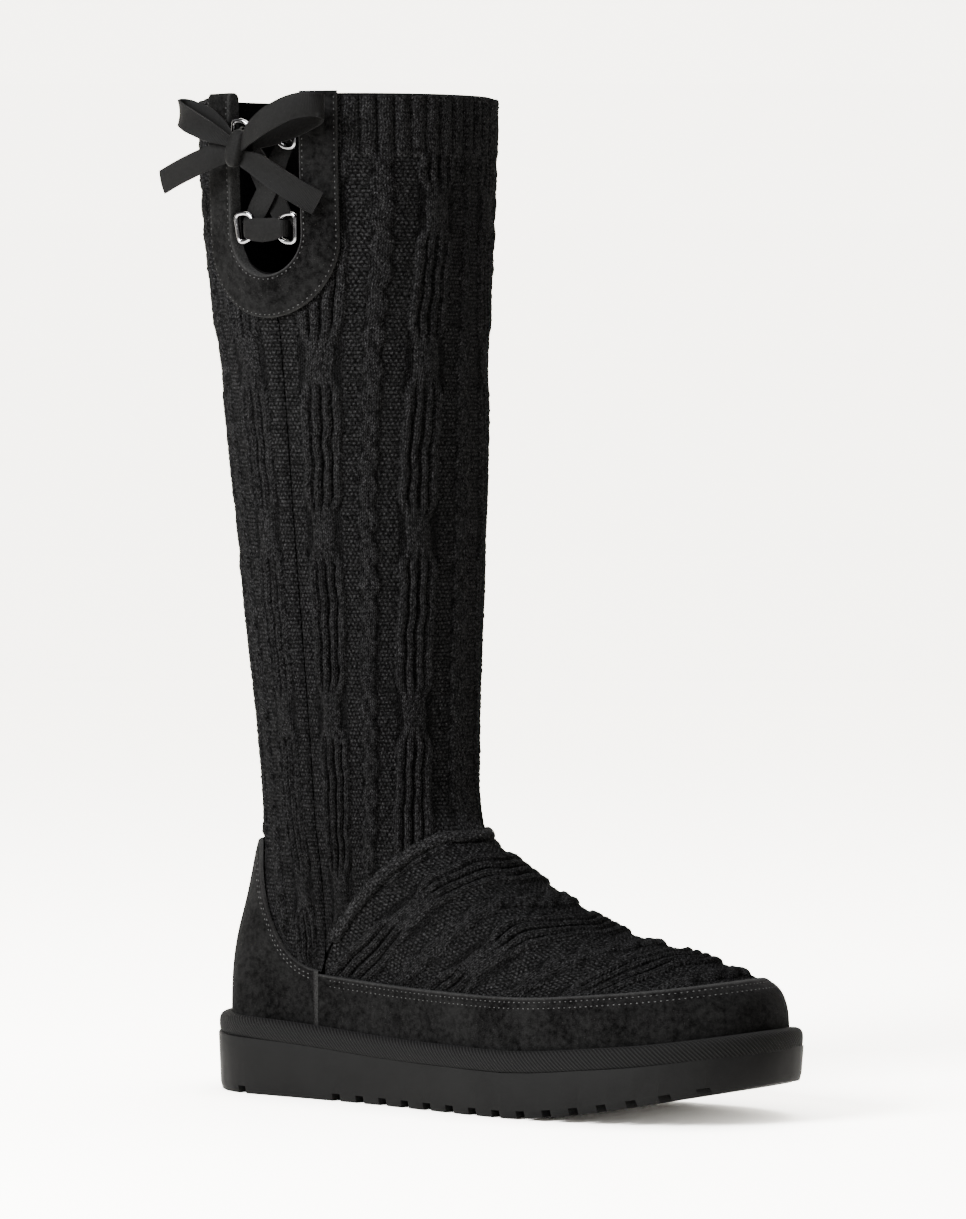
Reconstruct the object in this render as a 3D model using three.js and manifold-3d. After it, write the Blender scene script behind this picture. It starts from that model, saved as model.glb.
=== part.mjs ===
// Knee-high knit sweater boot for the right foot, standing empty on its sole.
// Millimetres. +X is the toe, -Y the outer side of the foot, +Z up.
// The origin is on the floor, under the middle of the sole's length.
import * as THREE from "three";
import { mergeVertices } from "three/addons/utils/BufferGeometryUtils.js";
import Module from "manifold-3d";

// Driving dimensions
const footLength = 271; // sole, heel to toe
const ballWidth = 97; // sole at the ball of the foot
const heelWidth = 76; // sole at the heel
const soleHeight = 24; // sole at the back of the heel, lugs included
const toeSpring = 16.5; // lift of the sole's underside at the toe
const lugDepth = 3; // depth of the tread channels
const channelWidth = 4.2; // width of the tread channels
const lugPitch = 12.6; // spacing of the channels along the sole
const soleDraft = 1.6; // how much narrower the sole is at its foot
const bindingOverhang = 0.5; // tape binding outside the sole's edge
const bindingHeight = 8; // tape binding, bottom to top
const ledge = 4.8; // sole's edge to the suede outside the upper
const suedeThickness = 1.6; // foxing, counter and patch
const wall = 3; // knit and its lining
const sideWall = 14; // upright part of the foot's side, above the sole
const instepRise = 78; // crown of the foot at the ankle, above the upright part
const foxingHeight = 29; // sole's top to the rolled edge of the foxing
const rolledEdge = 0.8; // how far the foxing's rolled edge stands proud
const counterHeight = 105; // floor to the top of the heel counter
const counterLength = 66; // heel to the counter's side seam
const counterStrap = 33; // heel to the counter's narrow upper part
const seamHeight = 109; // floor to the instep seam at the front
const seamReach = 119; // heel to the instep seam at the front
const seamWidth = 4.4; // raised instep seam
const seamProud = 2.2; // raised instep seam above the knit
const ankleHeight = 116; // floor to the narrowest part of the leg
const ankleDepth = 90.4; // leg, front to back, at the ankle
const ankleWidth = 81; // leg, side to side, at the ankle
const ankleSetback = 67; // middle of the sole to the middle of the ankle
const bootHeight = 413; // floor to the collar
const collarDepth = 125.2; // leg, front to back, at the collar
const collarWidth = 115.6; // leg, side to side, at the collar
const collarSetback = 78.7; // middle of the sole to the middle of the collar
const slotWidth = 34; // open slot in the outer side of the collar
const slotDepth = 74;
const patchWidth = 65; // suede patch around the slot
const patchDepth = 92;
const ringWire = 1.9; // wire of the metal D rings
const ringHeight = 13.5; // straight bar of a D ring
const ringReach = 10.5; // bar to the crown of the D
const lowerRingDrop = 56; // collar to the middle of the lower rings
const upperRingDrop = 17.5; // collar to the middle of the upper rings
const ribbonWidth = 10;
const ribbonThickness = 1.1;
const insoleThickness = 4;
const clearance = 0.3; // between pieces that touch
const seatGap = 0.5; // between the curved top of the sole and what stands on it

// Sizes that follow
const heelEnd = -footLength / 2;
const upperInset = ledge + suedeThickness + clearance;
const footColumns = 44; // facets around the upper

const black = 0x1b1b1d;
const knitMaterial = () => new THREE.MeshStandardMaterial({ color: 0x222224, roughness: 0.95, metalness: 0 });
const suedeMaterial = () => new THREE.MeshStandardMaterial({ color: 0x1d1d1f, roughness: 0.92, metalness: 0 });
const rubberMaterial = () => new THREE.MeshStandardMaterial({ color: 0x2a2a2c, roughness: 0.8, metalness: 0 });
const tapeMaterial = () => new THREE.MeshStandardMaterial({ color: black, roughness: 0.85, metalness: 0 });
const ribbonMaterial = () => new THREE.MeshStandardMaterial({ color: 0x2c2c2e, roughness: 0.6, metalness: 0 });
const nickelMaterial = () => new THREE.MeshStandardMaterial({ color: 0xc8c8cc, roughness: 0.2, metalness: 1 });
const liningMaterial = () => new THREE.MeshStandardMaterial({ color: black, roughness: 0.95, metalness: 0 });

// Plan of the sole: along is the share of its length from the heel, full the share
// from heel width to ball width, and shift moves the middle to the inner side, in
// shares of the ball width.
const planTable = [
  { along: 0.0, full: 0.0, shift: 0.0 },
  { along: 0.18, full: 0.0, shift: 0.0 },
  { along: 0.36, full: 0.06, shift: -0.015 },
  { along: 0.5, full: 0.42, shift: -0.03 },
  { along: 0.62, full: 0.86, shift: -0.022 },
  { along: 0.7, full: 1.0, shift: -0.008 },
  { along: 0.8, full: 0.97, shift: 0.012 },
  { along: 0.9, full: 0.85, shift: 0.03 },
  { along: 1.0, full: 0.6, shift: 0.045 },
];

// Side of the sole: thick is its thickness in shares of the sole's height.
const thicknessTable = [
  { along: 0.0, thick: 1.0 },
  { along: 0.19, thick: 0.935 },
  { along: 0.39, thick: 0.8 },
  { along: 0.55, thick: 0.768 },
  { along: 0.75, thick: 0.74 },
  { along: 0.85, thick: 0.665 },
  { along: 1.0, thick: 0.56 },
];

// Crown of the foot above its upright side wall, in shares of the instep rise.
const crownTable = [
  { along: 0.0, crown: 0.62 },
  { along: 0.2, crown: 1.02 },
  { along: 0.35, crown: 1.09 },
  { along: 0.45, crown: 1.0 },
  { along: 0.52, crown: 0.85 },
  { along: 0.6, crown: 0.685 },
  { along: 0.67, crown: 0.55 },
  { along: 0.745, crown: 0.445 },
  { along: 0.835, crown: 0.365 },
  { along: 0.91, crown: 0.3 },
  { along: 1.0, crown: 0.26 },
];

// Back of the leg below the ankle: up is the share of the ankle's height, in runs
// from the heel's end to the back of the ankle, and widen from the heel's width to
// the ankle's.
const heelTable = [
  { up: 0.0, in: 0.0, widen: 0.0 },
  { up: 0.38, in: 0.01, widen: 0.03 },
  { up: 0.56, in: 0.1, widen: 0.16 },
  { up: 0.75, in: 0.46, widen: 0.42 },
  { up: 0.86, in: 0.72, widen: 0.64 },
  { up: 0.94, in: 0.95, widen: 0.87 },
  { up: 1.0, in: 1.0, widen: 1.0 },
];

// Leg above the ankle: up is the share from ankle to collar, swell runs from the
// ankle's size to the collar's, and lean from the ankle's middle to the collar's.
const legTable = [
  { up: 0.0, swell: 0.0, lean: 0.0 },
  { up: 0.054, swell: 0.03, lean: 0.04 },
  { up: 0.19, swell: 0.17, lean: 0.22 },
  { up: 0.32, swell: 0.33, lean: 0.36 },
  { up: 0.458, swell: 0.485, lean: 0.5 },
  { up: 0.593, swell: 0.62, lean: 0.69 },
  { up: 0.727, swell: 0.81, lean: 0.9 },
  { up: 0.862, swell: 0.96, lean: 1.0 },
  { up: 1.0, swell: 1.0, lean: 1.0 },
];

// Rings around the instep: heel and toe are the heights of a ring at its ends, in
// shares of the ankle's height, lift tilts it up over the toes, in degrees, and
// pull draws its toe end back towards the leg.
const instepTable = [
  { heel: 0.5, toe: 0.46, lift: 22, pull: 0.02 },
  { heel: 0.55, toe: 0.46, lift: 46, pull: 0.08 },
  { heel: 0.61, toe: 0.46, lift: 60, pull: 0.2 },
  { heel: 0.68, toe: 0.47, lift: 62, pull: 0.33 },
  { heel: 0.75, toe: 0.49, lift: 62, pull: 0.46 },
  { heel: 0.81, toe: 0.54, lift: 58, pull: 0.58 },
  { heel: 0.87, toe: 0.63, lift: 48, pull: 0.7 },
  { heel: 0.92, toe: 0.75, lift: 34, pull: 0.82 },
  { heel: 0.96, toe: 0.86, lift: 18, pull: 0.92 },
  { heel: 1.0, toe: 0.96, lift: 4, pull: 1.0 },
];

// Cubic through a table's rows, read at a place along its key column.
function read(table, key, column, at) {
  const place = THREE.MathUtils.clamp(at, table[0][key], table[table.length - 1][key]);
  let i = 0;
  while (i < table.length - 2 && place > table[i + 1][key]) i++;
  const slope = (k) => {
    const a = table[Math.max(k - 1, 0)];
    const b = table[Math.min(k + 1, table.length - 1)];
    return (b[column] - a[column]) / (b[key] - a[key]);
  };
  const span = table[i + 1][key] - table[i][key];
  const t = (place - table[i][key]) / span;
  const t2 = t * t;
  const t3 = t2 * t;
  return (
    table[i][column] * (2 * t3 - 3 * t2 + 1) +
    slope(i) * span * (t3 - 2 * t2 + t) +
    table[i + 1][column] * (3 * t2 - 2 * t3) +
    slope(i + 1) * span * (t3 - t2)
  );
}

const mix = THREE.MathUtils.lerp;
const alongSole = (x) => (x - heelEnd) / footLength;

// Underside and top of the sole over a place along it
const springStart = 0.13 * footLength;
function soleBottom(x) {
  const run = Math.max(0, (x - springStart) / (footLength / 2 - springStart));
  return toeSpring * Math.pow(run, 1.5);
}
const soleTop = (x) => soleBottom(x) + soleHeight * read(thicknessTable, "along", "thick", alongSole(x));

// Half width of the sole's plan before its ends are rounded; side is -1 for the
// outer side and 1 for the inner side.
function halfWidth(x, side) {
  const along = alongSole(x);
  const half = mix(heelWidth, ballWidth, read(planTable, "along", "full", along)) / 2;
  return half + side * ballWidth * read(planTable, "along", "shift", along);
}

// How far a place lies into the rounded heel or toe: 0 before the round, 1 at its end
const heelRound = 0.48 * heelWidth;
const toeRound = 0.63 * ballWidth;
function intoEnd(x, inset) {
  const heel = (heelEnd + heelRound - x) / (heelRound - inset);
  const toe = (x - (footLength / 2 - toeRound)) / (toeRound - inset);
  return Math.max(0, heel, toe);
}
const planPower = 2.3;

// Line that the plan's ends and the foot's crown are centred on
const ridgeLine = (x) => ballWidth * (read(planTable, "along", "shift", alongSole(x)) + 0.02);

// Closed outline of the sole's plan at an inset from its edge, from the heel along
// the outer side to the toe and back along the inner side. Two points with the same
// station lie opposite each other.
function outline(inset, stations) {
  const side = (sign) =>
    Array.from({ length: stations }, (unused, k) => {
      const turn = (Math.PI * (k + 0.5)) / stations;
      const x = -(footLength / 2 - inset) * Math.cos(turn);
      const into = Math.min(intoEnd(x, inset), 1);
      const round = Math.pow(1 - Math.pow(into, planPower), 1 / planPower);
      const ridge = ridgeLine(x);
      return [x, ridge + sign * (halfWidth(x, sign) - inset - sign * ridge) * round];
    });
  return [...side(-1), ...side(1).reverse()];
}

// Closed solid between rings of the same number of points, each ring a list of
// [x, y, z], with ladder caps that join opposite points.
function slab(rings) {
  const count = rings[0].length;
  const position = rings.flat(2);
  const index = [];
  for (let r = 0; r < rings.length - 1; r++) {
    for (let i = 0; i < count; i++) {
      const a = r * count + i;
      const b = r * count + ((i + 1) % count);
      index.push(a, b, b + count, a, b + count, a + count);
    }
  }
  const top = (rings.length - 1) * count;
  for (let i = 0; i < count / 2 - 1; i++) {
    const j = count - 1 - i;
    index.push(i, j, j - 1, i, j - 1, i + 1);
    index.push(top + i, top + i + 1, top + j - 1, top + i, top + j - 1, top + j);
  }
  return geometryOf(position, index);
}

function geometryOf(position, index) {
  const geometry = new THREE.BufferGeometry();
  geometry.setAttribute("position", new THREE.Float32BufferAttribute(position, 3));
  geometry.setIndex(index);
  geometry.computeVertexNormals();
  return geometry;
}

// Joins and cuts
const manifold = await Module();
manifold.setup();

function solid(geometry) {
  const plain = geometry.clone();
  plain.deleteAttribute("normal");
  if (plain.getAttribute("uv")) plain.deleteAttribute("uv");
  const merged = mergeVertices(plain, 1e-5);
  const vertProperties = new Float32Array(merged.getAttribute("position").array);
  const triVerts = new Uint32Array(merged.getIndex().array);
  return new manifold.Manifold(new manifold.Mesh({ numProp: 3, vertProperties, triVerts }));
}

function shape(body) {
  const mesh = body.getMesh();
  return geometryOf(Array.from(mesh.vertProperties), Array.from(mesh.triVerts));
}

// Form of the last. Negative inside, roughly a distance in millimetres.
const power = 2.4;
const legPower = 2.1;

function footForm(x, y, z) {
  const along = alongSole(x);
  const ridge = ridgeLine(x);
  const side = y < ridge ? -1 : 1;
  const half = Math.max(halfWidth(x, side) - upperInset - side * ridge, 1);
  const across = Math.abs(y - ridge) / half;
  const into = intoEnd(x, upperInset);
  const plan = Math.pow(Math.pow(across, planPower) + Math.pow(into, planPower), 1 / planPower);
  const crown = instepRise * read(crownTable, "along", "crown", along);
  const up = Math.max(0, z - soleTop(x) - sideWall) / crown;
  const whole = Math.pow(Math.pow(plan, power) + Math.pow(up, power), 1 / power);
  return (whole - 1) * Math.min(half, crown);
}

function legSection(z) {
  if (z < ankleHeight) {
    const up = z / ankleHeight;
    const tuck = read(heelTable, "up", "in", up);
    const widen = read(heelTable, "up", "widen", up);
    const back = mix(heelEnd + upperInset, -ankleSetback - ankleDepth / 2, tuck);
    const front = -ankleSetback + ankleDepth / 2;
    const half = mix(heelWidth / 2 - upperInset, ankleWidth / 2, widen);
    return { middle: (back + front) / 2, deep: (front - back) / 2, wide: half };
  }
  const up = (z - ankleHeight) / (bootHeight - ankleHeight);
  const swell = read(legTable, "up", "swell", up);
  const lean = read(legTable, "up", "lean", up);
  return {
    middle: -mix(ankleSetback, collarSetback, lean),
    deep: mix(ankleDepth, collarDepth, swell) / 2,
    wide: mix(ankleWidth, collarWidth, swell) / 2,
  };
}

function legForm(x, y, z) {
  const { middle, deep, wide } = legSection(z);
  const dx = Math.abs(x - middle) / deep;
  const dy = Math.abs(y) / wide;
  const whole = Math.pow(Math.pow(dx, legPower) + Math.pow(dy, legPower), 1 / legPower);
  return (whole - 1) * wide;
}

// The foot and the leg run into each other with a soft bend at the front.
const bendRadius = 9;
function form(x, y, z) {
  const foot = footForm(x, y, z);
  const leg = legForm(x, y, z);
  const front = THREE.MathUtils.smoothstep(x, -ankleSetback, -ankleSetback + ankleDepth / 2);
  const reach = 0.5 + bendRadius * front;
  const near = Math.max(reach - Math.abs(foot - leg), 0) / reach;
  return Math.min(foot, leg) - (near * near * reach) / 4;
}

// Point of the form along a ray from inside it, with the normal there
function cast(origin, direction) {
  const at = (t) => form(origin[0] + direction[0] * t, origin[1] + direction[1] * t, origin[2] + direction[2] * t);
  let near = 0;
  let far = 4;
  while (at(far) < 0 && far < footLength) {
    near = far;
    far += 4;
  }
  for (let k = 0; k < 22; k++) {
    const middle = (near + far) / 2;
    if (at(middle) < 0) near = middle;
    else far = middle;
  }
  const [x, y, z] = [0, 1, 2].map((k) => origin[k] + direction[k] * near);
  const step = 0.8;
  const normal = new THREE.Vector3(
    form(x + step, y, z) - form(x - step, y, z),
    form(x, y + step, z) - form(x, y - step, z),
    form(x, y, z + step) - form(x, y, z - step),
  ).normalize();
  return { point: new THREE.Vector3(x, y, z), normal };
}

// Rings of the upper, each a list of { point, normal } around the foot or the leg
const spineHalf = 0.33 * footLength; // half the line that the foot's rays leave from
const spineMiddle = -0.02 * footLength;
const columns = Array.from({ length: footColumns }, (unused, j) => {
  const turn = (2 * Math.PI * (j + 0.5)) / footColumns;
  return { ahead: Math.cos(turn), aside: Math.sin(turn), toeward: (1 + Math.cos(turn)) / 2 };
});

// A ring that follows the sole's top at a height above it
function featherRing(rise) {
  return columns.map(({ ahead, aside }) => {
    let hit = null;
    let z = soleTop(0) + rise;
    for (let k = 0; k < 4; k++) {
      hit = cast([spineMiddle + spineHalf * ahead, 0, z], [ahead, aside, 0]);
      z = soleTop(hit.point.x) + rise;
    }
    hit.normal.setZ(0).normalize();
    hit.point.z = z;
    return hit;
  });
}

function instepRing(row) {
  return columns.map(({ ahead, aside, toeward }) => {
    const start = spineMiddle + spineHalf * ahead;
    const tilt = THREE.MathUtils.degToRad(row.lift * toeward);
    const x = mix(start, -ankleSetback, row.pull);
    const z = ankleHeight * mix(row.heel, row.toe, toeward);
    return cast([x, 0, z], [ahead * Math.cos(tilt), aside * Math.cos(tilt), Math.sin(tilt)]);
  });
}

const legRing = (z) => {
  const { middle } = legSection(z);
  return columns.map(({ ahead, aside }) => {
    const hit = cast([middle, 0, z], [ahead, aside, 0]);
    hit.normal.setZ(0).normalize();
    return hit;
  });
};

const featherRises = [seatGap, 11, 19, foxingHeight - 4, foxingHeight];
const legRingCount = 11;
const featherRings = featherRises.map(featherRing);
const instepRings = instepTable.map(instepRing);
const legRings = Array.from({ length: legRingCount }, (unused, k) =>
  legRing(mix(ankleHeight + 12, bootHeight, k / (legRingCount - 1))),
);
const upperRings = [...featherRings, ...instepRings, ...legRings];

// Closed wall over some of the rings, between two offsets from the form; an offset
// is one number or one for each ring. With rises given, each ring lies at its height
// above the sole's top.
function band(rings, inner, outer, rises) {
  const offset = (value, r) => (Array.isArray(value) ? value[r] : value);
  const place = (value, r, { point, normal }) => {
    const moved = point.clone().addScaledVector(normal, offset(value, r));
    return rises ? moved.setZ(soleTop(moved.x) + rises[r]) : moved;
  };
  const layer = (value) => rings.map((ring, r) => ring.map((spot) => place(value, r, spot)));
  const sheets = [...layer(outer), ...layer(inner).reverse()];
  const position = sheets.flat().flatMap((p) => [p.x, p.y, p.z]);
  const index = [];
  for (let r = 0; r < sheets.length; r++) {
    const next = (r + 1) % sheets.length;
    for (let i = 0; i < footColumns; i++) {
      const j = (i + 1) % footColumns;
      const [a, b] = [r * footColumns + i, r * footColumns + j];
      const [c, d] = [next * footColumns + i, next * footColumns + j];
      // Both faces of the wall are split along the same diagonals.
      if (r < rings.length) index.push(a, b, d, a, d, c);
      else index.push(a, b, c, b, d, c);
    }
  }
  return geometryOf(position, index);
}

// Prism across the foot: a side view outline of [x, z] points, from one y to another
function prism(points, from, to) {
  const face = new THREE.Shape(points.map(([x, z]) => new THREE.Vector2(x, z)));
  const geometry = new THREE.ExtrudeGeometry(face, { depth: to - from, bevelEnabled: false, curveSegments: 1 });
  geometry.rotateX(Math.PI / 2);
  geometry.translate(0, to, 0);
  return geometry;
}

// U outline that is open at the collar, around the middle of the leg's outer side
function keyhole(width, depth, steps) {
  const middle = -collarSetback;
  const radius = width / 2;
  const low = bootHeight - depth + radius;
  const points = [[middle + radius, bootHeight + 10]];
  points.push([middle - radius, bootHeight + 10]);
  for (let k = 0; k <= steps; k++) {
    const turn = Math.PI + (Math.PI * k) / steps;
    points.push([middle + radius * Math.cos(turn), low + radius * Math.sin(turn)]);
  }
  return points;
}
const outside = -collarWidth;
const slotCut = solid(prism(keyhole(slotWidth, slotDepth, 14), outside, 0));

// Outsole: a tapered slab with channels between its lugs
function outsole() {
  const stations = 30;
  const plan = (inset, height) => outline(inset, stations).map(([x, y]) => [x, y, height(x)]);
  const foot = plan(soleDraft, (x) => soleBottom(x));
  const step = plan(soleDraft / 2, (x) => soleBottom(x) + lugDepth);
  const top = plan(0, soleTop);
  let body = solid(slab([foot, step, top]));
  const channel = (x, y, long, across) => {
    const depth = lugDepth * 2;
    const box = new THREE.BoxGeometry(long, across, depth);
    const slope = Math.atan((soleBottom(x + 1) - soleBottom(x - 1)) / 2);
    box.rotateY(-slope);
    box.translate(x, y, soleBottom(x));
    return solid(box);
  };
  // Plain stretch of the heel, with no channels
  const plainFrom = -0.37 * footLength;
  const plainTo = -0.235 * footLength;
  const first = lugPitch / 2;
  const count = Math.floor((footLength / 2 - lugPitch) / lugPitch);
  for (let k = -count; k <= count; k++) {
    const x = first + k * lugPitch;
    if (x > plainFrom && x < plainTo) continue;
    body = body.subtract(channel(x, 0, channelWidth, ballWidth * 2));
  }
  // Two channels along the forefoot divide its bars into lugs.
  const barRow = 0.17 * ballWidth;
  const forefoot = 0.06 * footLength;
  for (const side of [-1, 1]) {
    const long = footLength * 0.3;
    body = body.subtract(channel(forefoot + lugPitch / 2, side * barRow, long, channelWidth));
  }
  return shape(body);
}

// Tape binding: a rounded ring on the sole's edge, around the foot of the upper
function binding() {
  const inner = suedeThickness + 2 * clearance;
  const outer = upperInset + bindingOverhang;
  const middle = (inner + outer) / 2;
  const steps = 4;
  const turns = Array.from({ length: steps + 1 }, (unused, k) => Math.PI * (k / steps - 0.5));
  const rises = turns.map((turn) => seatGap + (bindingHeight / 2) * (1 + Math.sin(turn)));
  const profile = turns.map((turn) => middle + (outer - middle) * Math.cos(turn));
  return band(rises.map(featherRing), inner, profile, rises);
}

// Upper: one knitted wall from the sole to the collar, with the slot cut in it
const upper = () => shape(solid(band(upperRings, -wall, 0)).subtract(slotCut));

const overlayInner = clearance;
const overlayOuter = clearance + suedeThickness;
const counterSeam = heelEnd + counterLength;
const farSide = ballWidth;

// Foxing: suede from the counter round the toe, with a rolled top edge
function foxing() {
  const proud = overlayOuter + rolledEdge;
  const [below, edge] = featherRings.slice(-2);
  const between = (share) =>
    below.map((spot, j) => ({
      point: spot.point.clone().lerp(edge[j].point, share),
      normal: spot.normal.clone().lerp(edge[j].normal, share),
    }));
  const rings = [...featherRings.slice(0, -1), between(0.2), between(0.85), edge];
  const [lower, highest] = featherRises.slice(-2);
  const rises = [...featherRises.slice(0, -1), mix(lower, highest, 0.2), mix(lower, highest, 0.85), highest];
  const plain = featherRings.slice(0, -1).map(() => overlayOuter);
  const outer = [...plain, proud, proud, overlayOuter];
  const low = -10;
  const high = ankleHeight;
  const seam = counterSeam + clearance / 2;
  const front = prism([[seam, low], [footLength, low], [footLength, high], [seam, high]], -farSide, farSide);
  return shape(solid(band(rings, overlayInner, outer, rises)).intersect(solid(front)));
}

// Heel counter: suede that narrows to a strap up the back of the heel
function counter() {
  const rings = [...featherRings, ...instepRings, legRings[0]];
  const strap = heelEnd + counterStrap;
  const low = -10;
  const back = heelEnd - 30;
  const seam = counterSeam - clearance / 2;
  const shoulder = soleTop(seam) + foxingHeight + 2;
  const points = [[back, low], [seam, low], [seam, shoulder]];
  const steps = 8;
  for (let k = 1; k <= steps; k++) {
    const turn = (Math.PI / 2) * (k / steps);
    const x = seam - (seam - strap) * Math.sin(turn);
    const z = counterHeight - (counterHeight - shoulder) * Math.cos(turn);
    points.push([x, z]);
  }
  points.push([back, counterHeight]);
  return shape(solid(band(rings, overlayInner, overlayOuter)).intersect(solid(prism(points, -farSide, farSide))));
}

// Raised seam where the leg is sewn to the knit over the instep
function vampSeam() {
  const rings = [...featherRings.slice(-2), ...instepRings, legRings[0]];
  const start = [counterSeam + 2 * clearance, soleTop(counterSeam) + foxingHeight + seamWidth / 2];
  const end = [heelEnd + seamReach, seamHeight];
  const bow = 1.25;
  const middleLine = [];
  const steps = 9;
  for (let k = 0; k <= steps; k++) {
    const turn = (Math.PI / 2) * (k / steps);
    const x = end[0] - (end[0] - start[0]) * Math.pow(Math.cos(turn), 2 / bow);
    const z = start[1] + (end[1] - start[1]) * Math.pow(Math.sin(turn), 2 / bow);
    middleLine.push([x, z]);
  }
  middleLine.push([end[0] + 40, end[1]]);
  const edge = (offset) =>
    middleLine.map(([x, z], k) => {
      const [ax, az] = middleLine[Math.max(k - 1, 0)];
      const [bx, bz] = middleLine[Math.min(k + 1, middleLine.length - 1)];
      const long = Math.hypot(bx - ax, bz - az);
      return [x - (offset * (bz - az)) / long, z + (offset * (bx - ax)) / long];
    });
  const strip = [...edge(-seamWidth / 2), ...edge(seamWidth / 2).reverse()];
  const wallBand = solid(band(rings, clearance, clearance + seamProud));
  return shape(wallBand.intersect(solid(prism(strip, -farSide, farSide))));
}

// Suede patch around the slot in the collar
function collarPatch() {
  const rings = legRings.slice(-6);
  const outerSide = solid(prism(keyhole(patchWidth, patchDepth, 16), outside, 0));
  return shape(solid(band(rings, overlayInner, overlayOuter)).intersect(outerSide).subtract(slotCut));
}

// Insole inside the foot of the upper
function insole() {
  const inset = wall + clearance;
  const ring = (rise) =>
    featherRing(rise).map(({ point, normal }) => {
      const inside = point.clone().addScaledVector(normal, -inset);
      return [inside.x, inside.y, soleTop(inside.x) + rise];
    });
  return slab([ring(seatGap), ring(seatGap + insoleThickness)]);
}

// Place at the slot: ahead of its middle, below the collar and out from the leg's side
const slotMiddle = -collarSetback;
const atSlot = (ahead, drop, out) => new THREE.Vector3(slotMiddle + ahead, -collarWidth / 2 - out, bootHeight - drop);

// Flat strip along a list of rows, each with a place and its width as a share of the
// ribbon's. The strip faces away from the leg and turns with its path.
function ribbonStrip(rows, steps) {
  const curve = new THREE.CatmullRomCurve3(rows.map(({ ahead, drop, out }) => atSlot(ahead, drop, out)));
  const position = [];
  const index = [];
  for (let k = 0; k <= steps; k++) {
    const at = (k / steps) * (rows.length - 1);
    const row = Math.min(Math.floor(at), rows.length - 2);
    const wide = mix(rows[row].wide, rows[row + 1].wide, at - row) * ribbonWidth;
    const point = curve.getPoint(k / steps);
    const ahead = curve.getTangent(k / steps);
    const facing = new THREE.Vector3(ahead.y, -ahead.x, 0).normalize();
    const across = new THREE.Vector3().crossVectors(ahead, facing).normalize();
    const proud = new THREE.Vector3().crossVectors(across, ahead).normalize();
    for (const [u, v] of [[-1, -1], [1, -1], [1, 1], [-1, 1]]) {
      const corner = point.clone().addScaledVector(across, (u * wide) / 2);
      corner.addScaledVector(proud, (v * ribbonThickness) / 2);
      position.push(corner.x, corner.y, corner.z);
    }
    if (k === 0) continue;
    for (let i = 0; i < 4; i++) {
      const a = 4 * (k - 1) + i;
      const b = 4 * (k - 1) + ((i + 1) % 4);
      index.push(a, b + 4, b, a, a + 4, b + 4);
    }
  }
  const end = 4 * steps;
  index.push(0, 1, 2, 0, 2, 3, end, end + 2, end + 1, end, end + 3, end + 2);
  return geometryOf(position, index);
}

// Metal D rings: side is 1 for the front edge of the slot, drop is the collar to the
// middle of the straight bar, and lean tips the bar along the slot's rounded foot.
const ringTable = {
  d_ring_lower_front: { side: 1, drop: lowerRingDrop, lean: 0 },
  d_ring_lower_back: { side: -1, drop: lowerRingDrop, lean: 12 },
  d_ring_upper_front: { side: 1, drop: upperRingDrop, lean: 0 },
  d_ring_upper_back: { side: -1, drop: upperRingDrop, lean: 0 },
};

// Out to the patch at the slot's edge, where a ring's bar lies
function ringOut(drop) {
  const edge = cast([slotMiddle + slotWidth / 2, 0, bootHeight - drop], [0, -1, 0]);
  return -edge.point.y - collarWidth / 2 + overlayInner + suedeThickness / 2;
}

// From the slot's middle to a ring's bar, and to the middle of the ring's opening
function ringBar({ drop, lean }) {
  const half = (ringHeight - ringWire) / 2;
  const swing = half * Math.sin(THREE.MathUtils.degToRad(lean));
  const round = slotWidth / 2;
  const under = Math.max(0, drop + half - (slotDepth - round));
  const high = round - swing;
  const low = Math.sqrt(round * round - under * under) + swing;
  return Math.min(high, low) - clearance - ringWire / 2;
}
const opening = (ring) => ringBar(ring) - (ringReach - ringWire) / 2;

// A straight bar at the slot's edge and a crown into the slot
function dRing(ring) {
  const { side, drop, lean } = ring;
  const half = (ringHeight - ringWire) / 2;
  const deep = ringReach - ringWire;
  const corner = 0.25 * deep;
  const at = (u, v) => new THREE.Vector3(-side * u, v, 0);
  const path = new THREE.CurvePath();
  path.add(new THREE.LineCurve3(at(0, -half + corner), at(0, half - corner)));
  path.add(new THREE.QuadraticBezierCurve3(at(0, half - corner), at(0, half), at(corner, half)));
  path.add(new THREE.CubicBezierCurve3(at(corner, half), at(0.8 * deep, half), at(deep, 0.6 * half), at(deep, 0)));
  path.add(new THREE.CubicBezierCurve3(at(deep, 0), at(deep, -0.6 * half), at(0.8 * deep, -half), at(corner, -half)));
  path.add(new THREE.QuadraticBezierCurve3(at(corner, -half), at(0, -half), at(0, -half + corner)));
  const points = path.getSpacedPoints(21).slice(0, -1);
  const round = 6;
  const position = [];
  const index = [];
  points.forEach((point, k) => {
    const next = points[(k + 1) % points.length];
    const last = points[(k + points.length - 1) % points.length];
    const ahead = next.clone().sub(last).normalize();
    const aside = new THREE.Vector3(-ahead.y, ahead.x, 0);
    for (let i = 0; i < round; i++) {
      const turn = (2 * Math.PI * i) / round;
      const spot = point.clone().addScaledVector(aside, (ringWire / 2) * Math.cos(turn));
      position.push(spot.x, spot.y, spot.z + (ringWire / 2) * Math.sin(turn));
      const wrap = ((k + 1) % points.length) * round;
      const [a, b] = [k * round + i, k * round + ((i + 1) % round)];
      const [c, d] = [wrap + i, wrap + ((i + 1) % round)];
      index.push(a, d, c, a, b, d);
    }
  });
  const geometry = geometryOf(position, index);
  geometry.rotateZ(THREE.MathUtils.degToRad(lean));
  geometry.rotateX(Math.PI / 2);
  const place = atSlot(side * ringBar(ring), drop, ringOut(drop));
  geometry.translate(place.x, place.y, place.z);
  return geometry;
}

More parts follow.
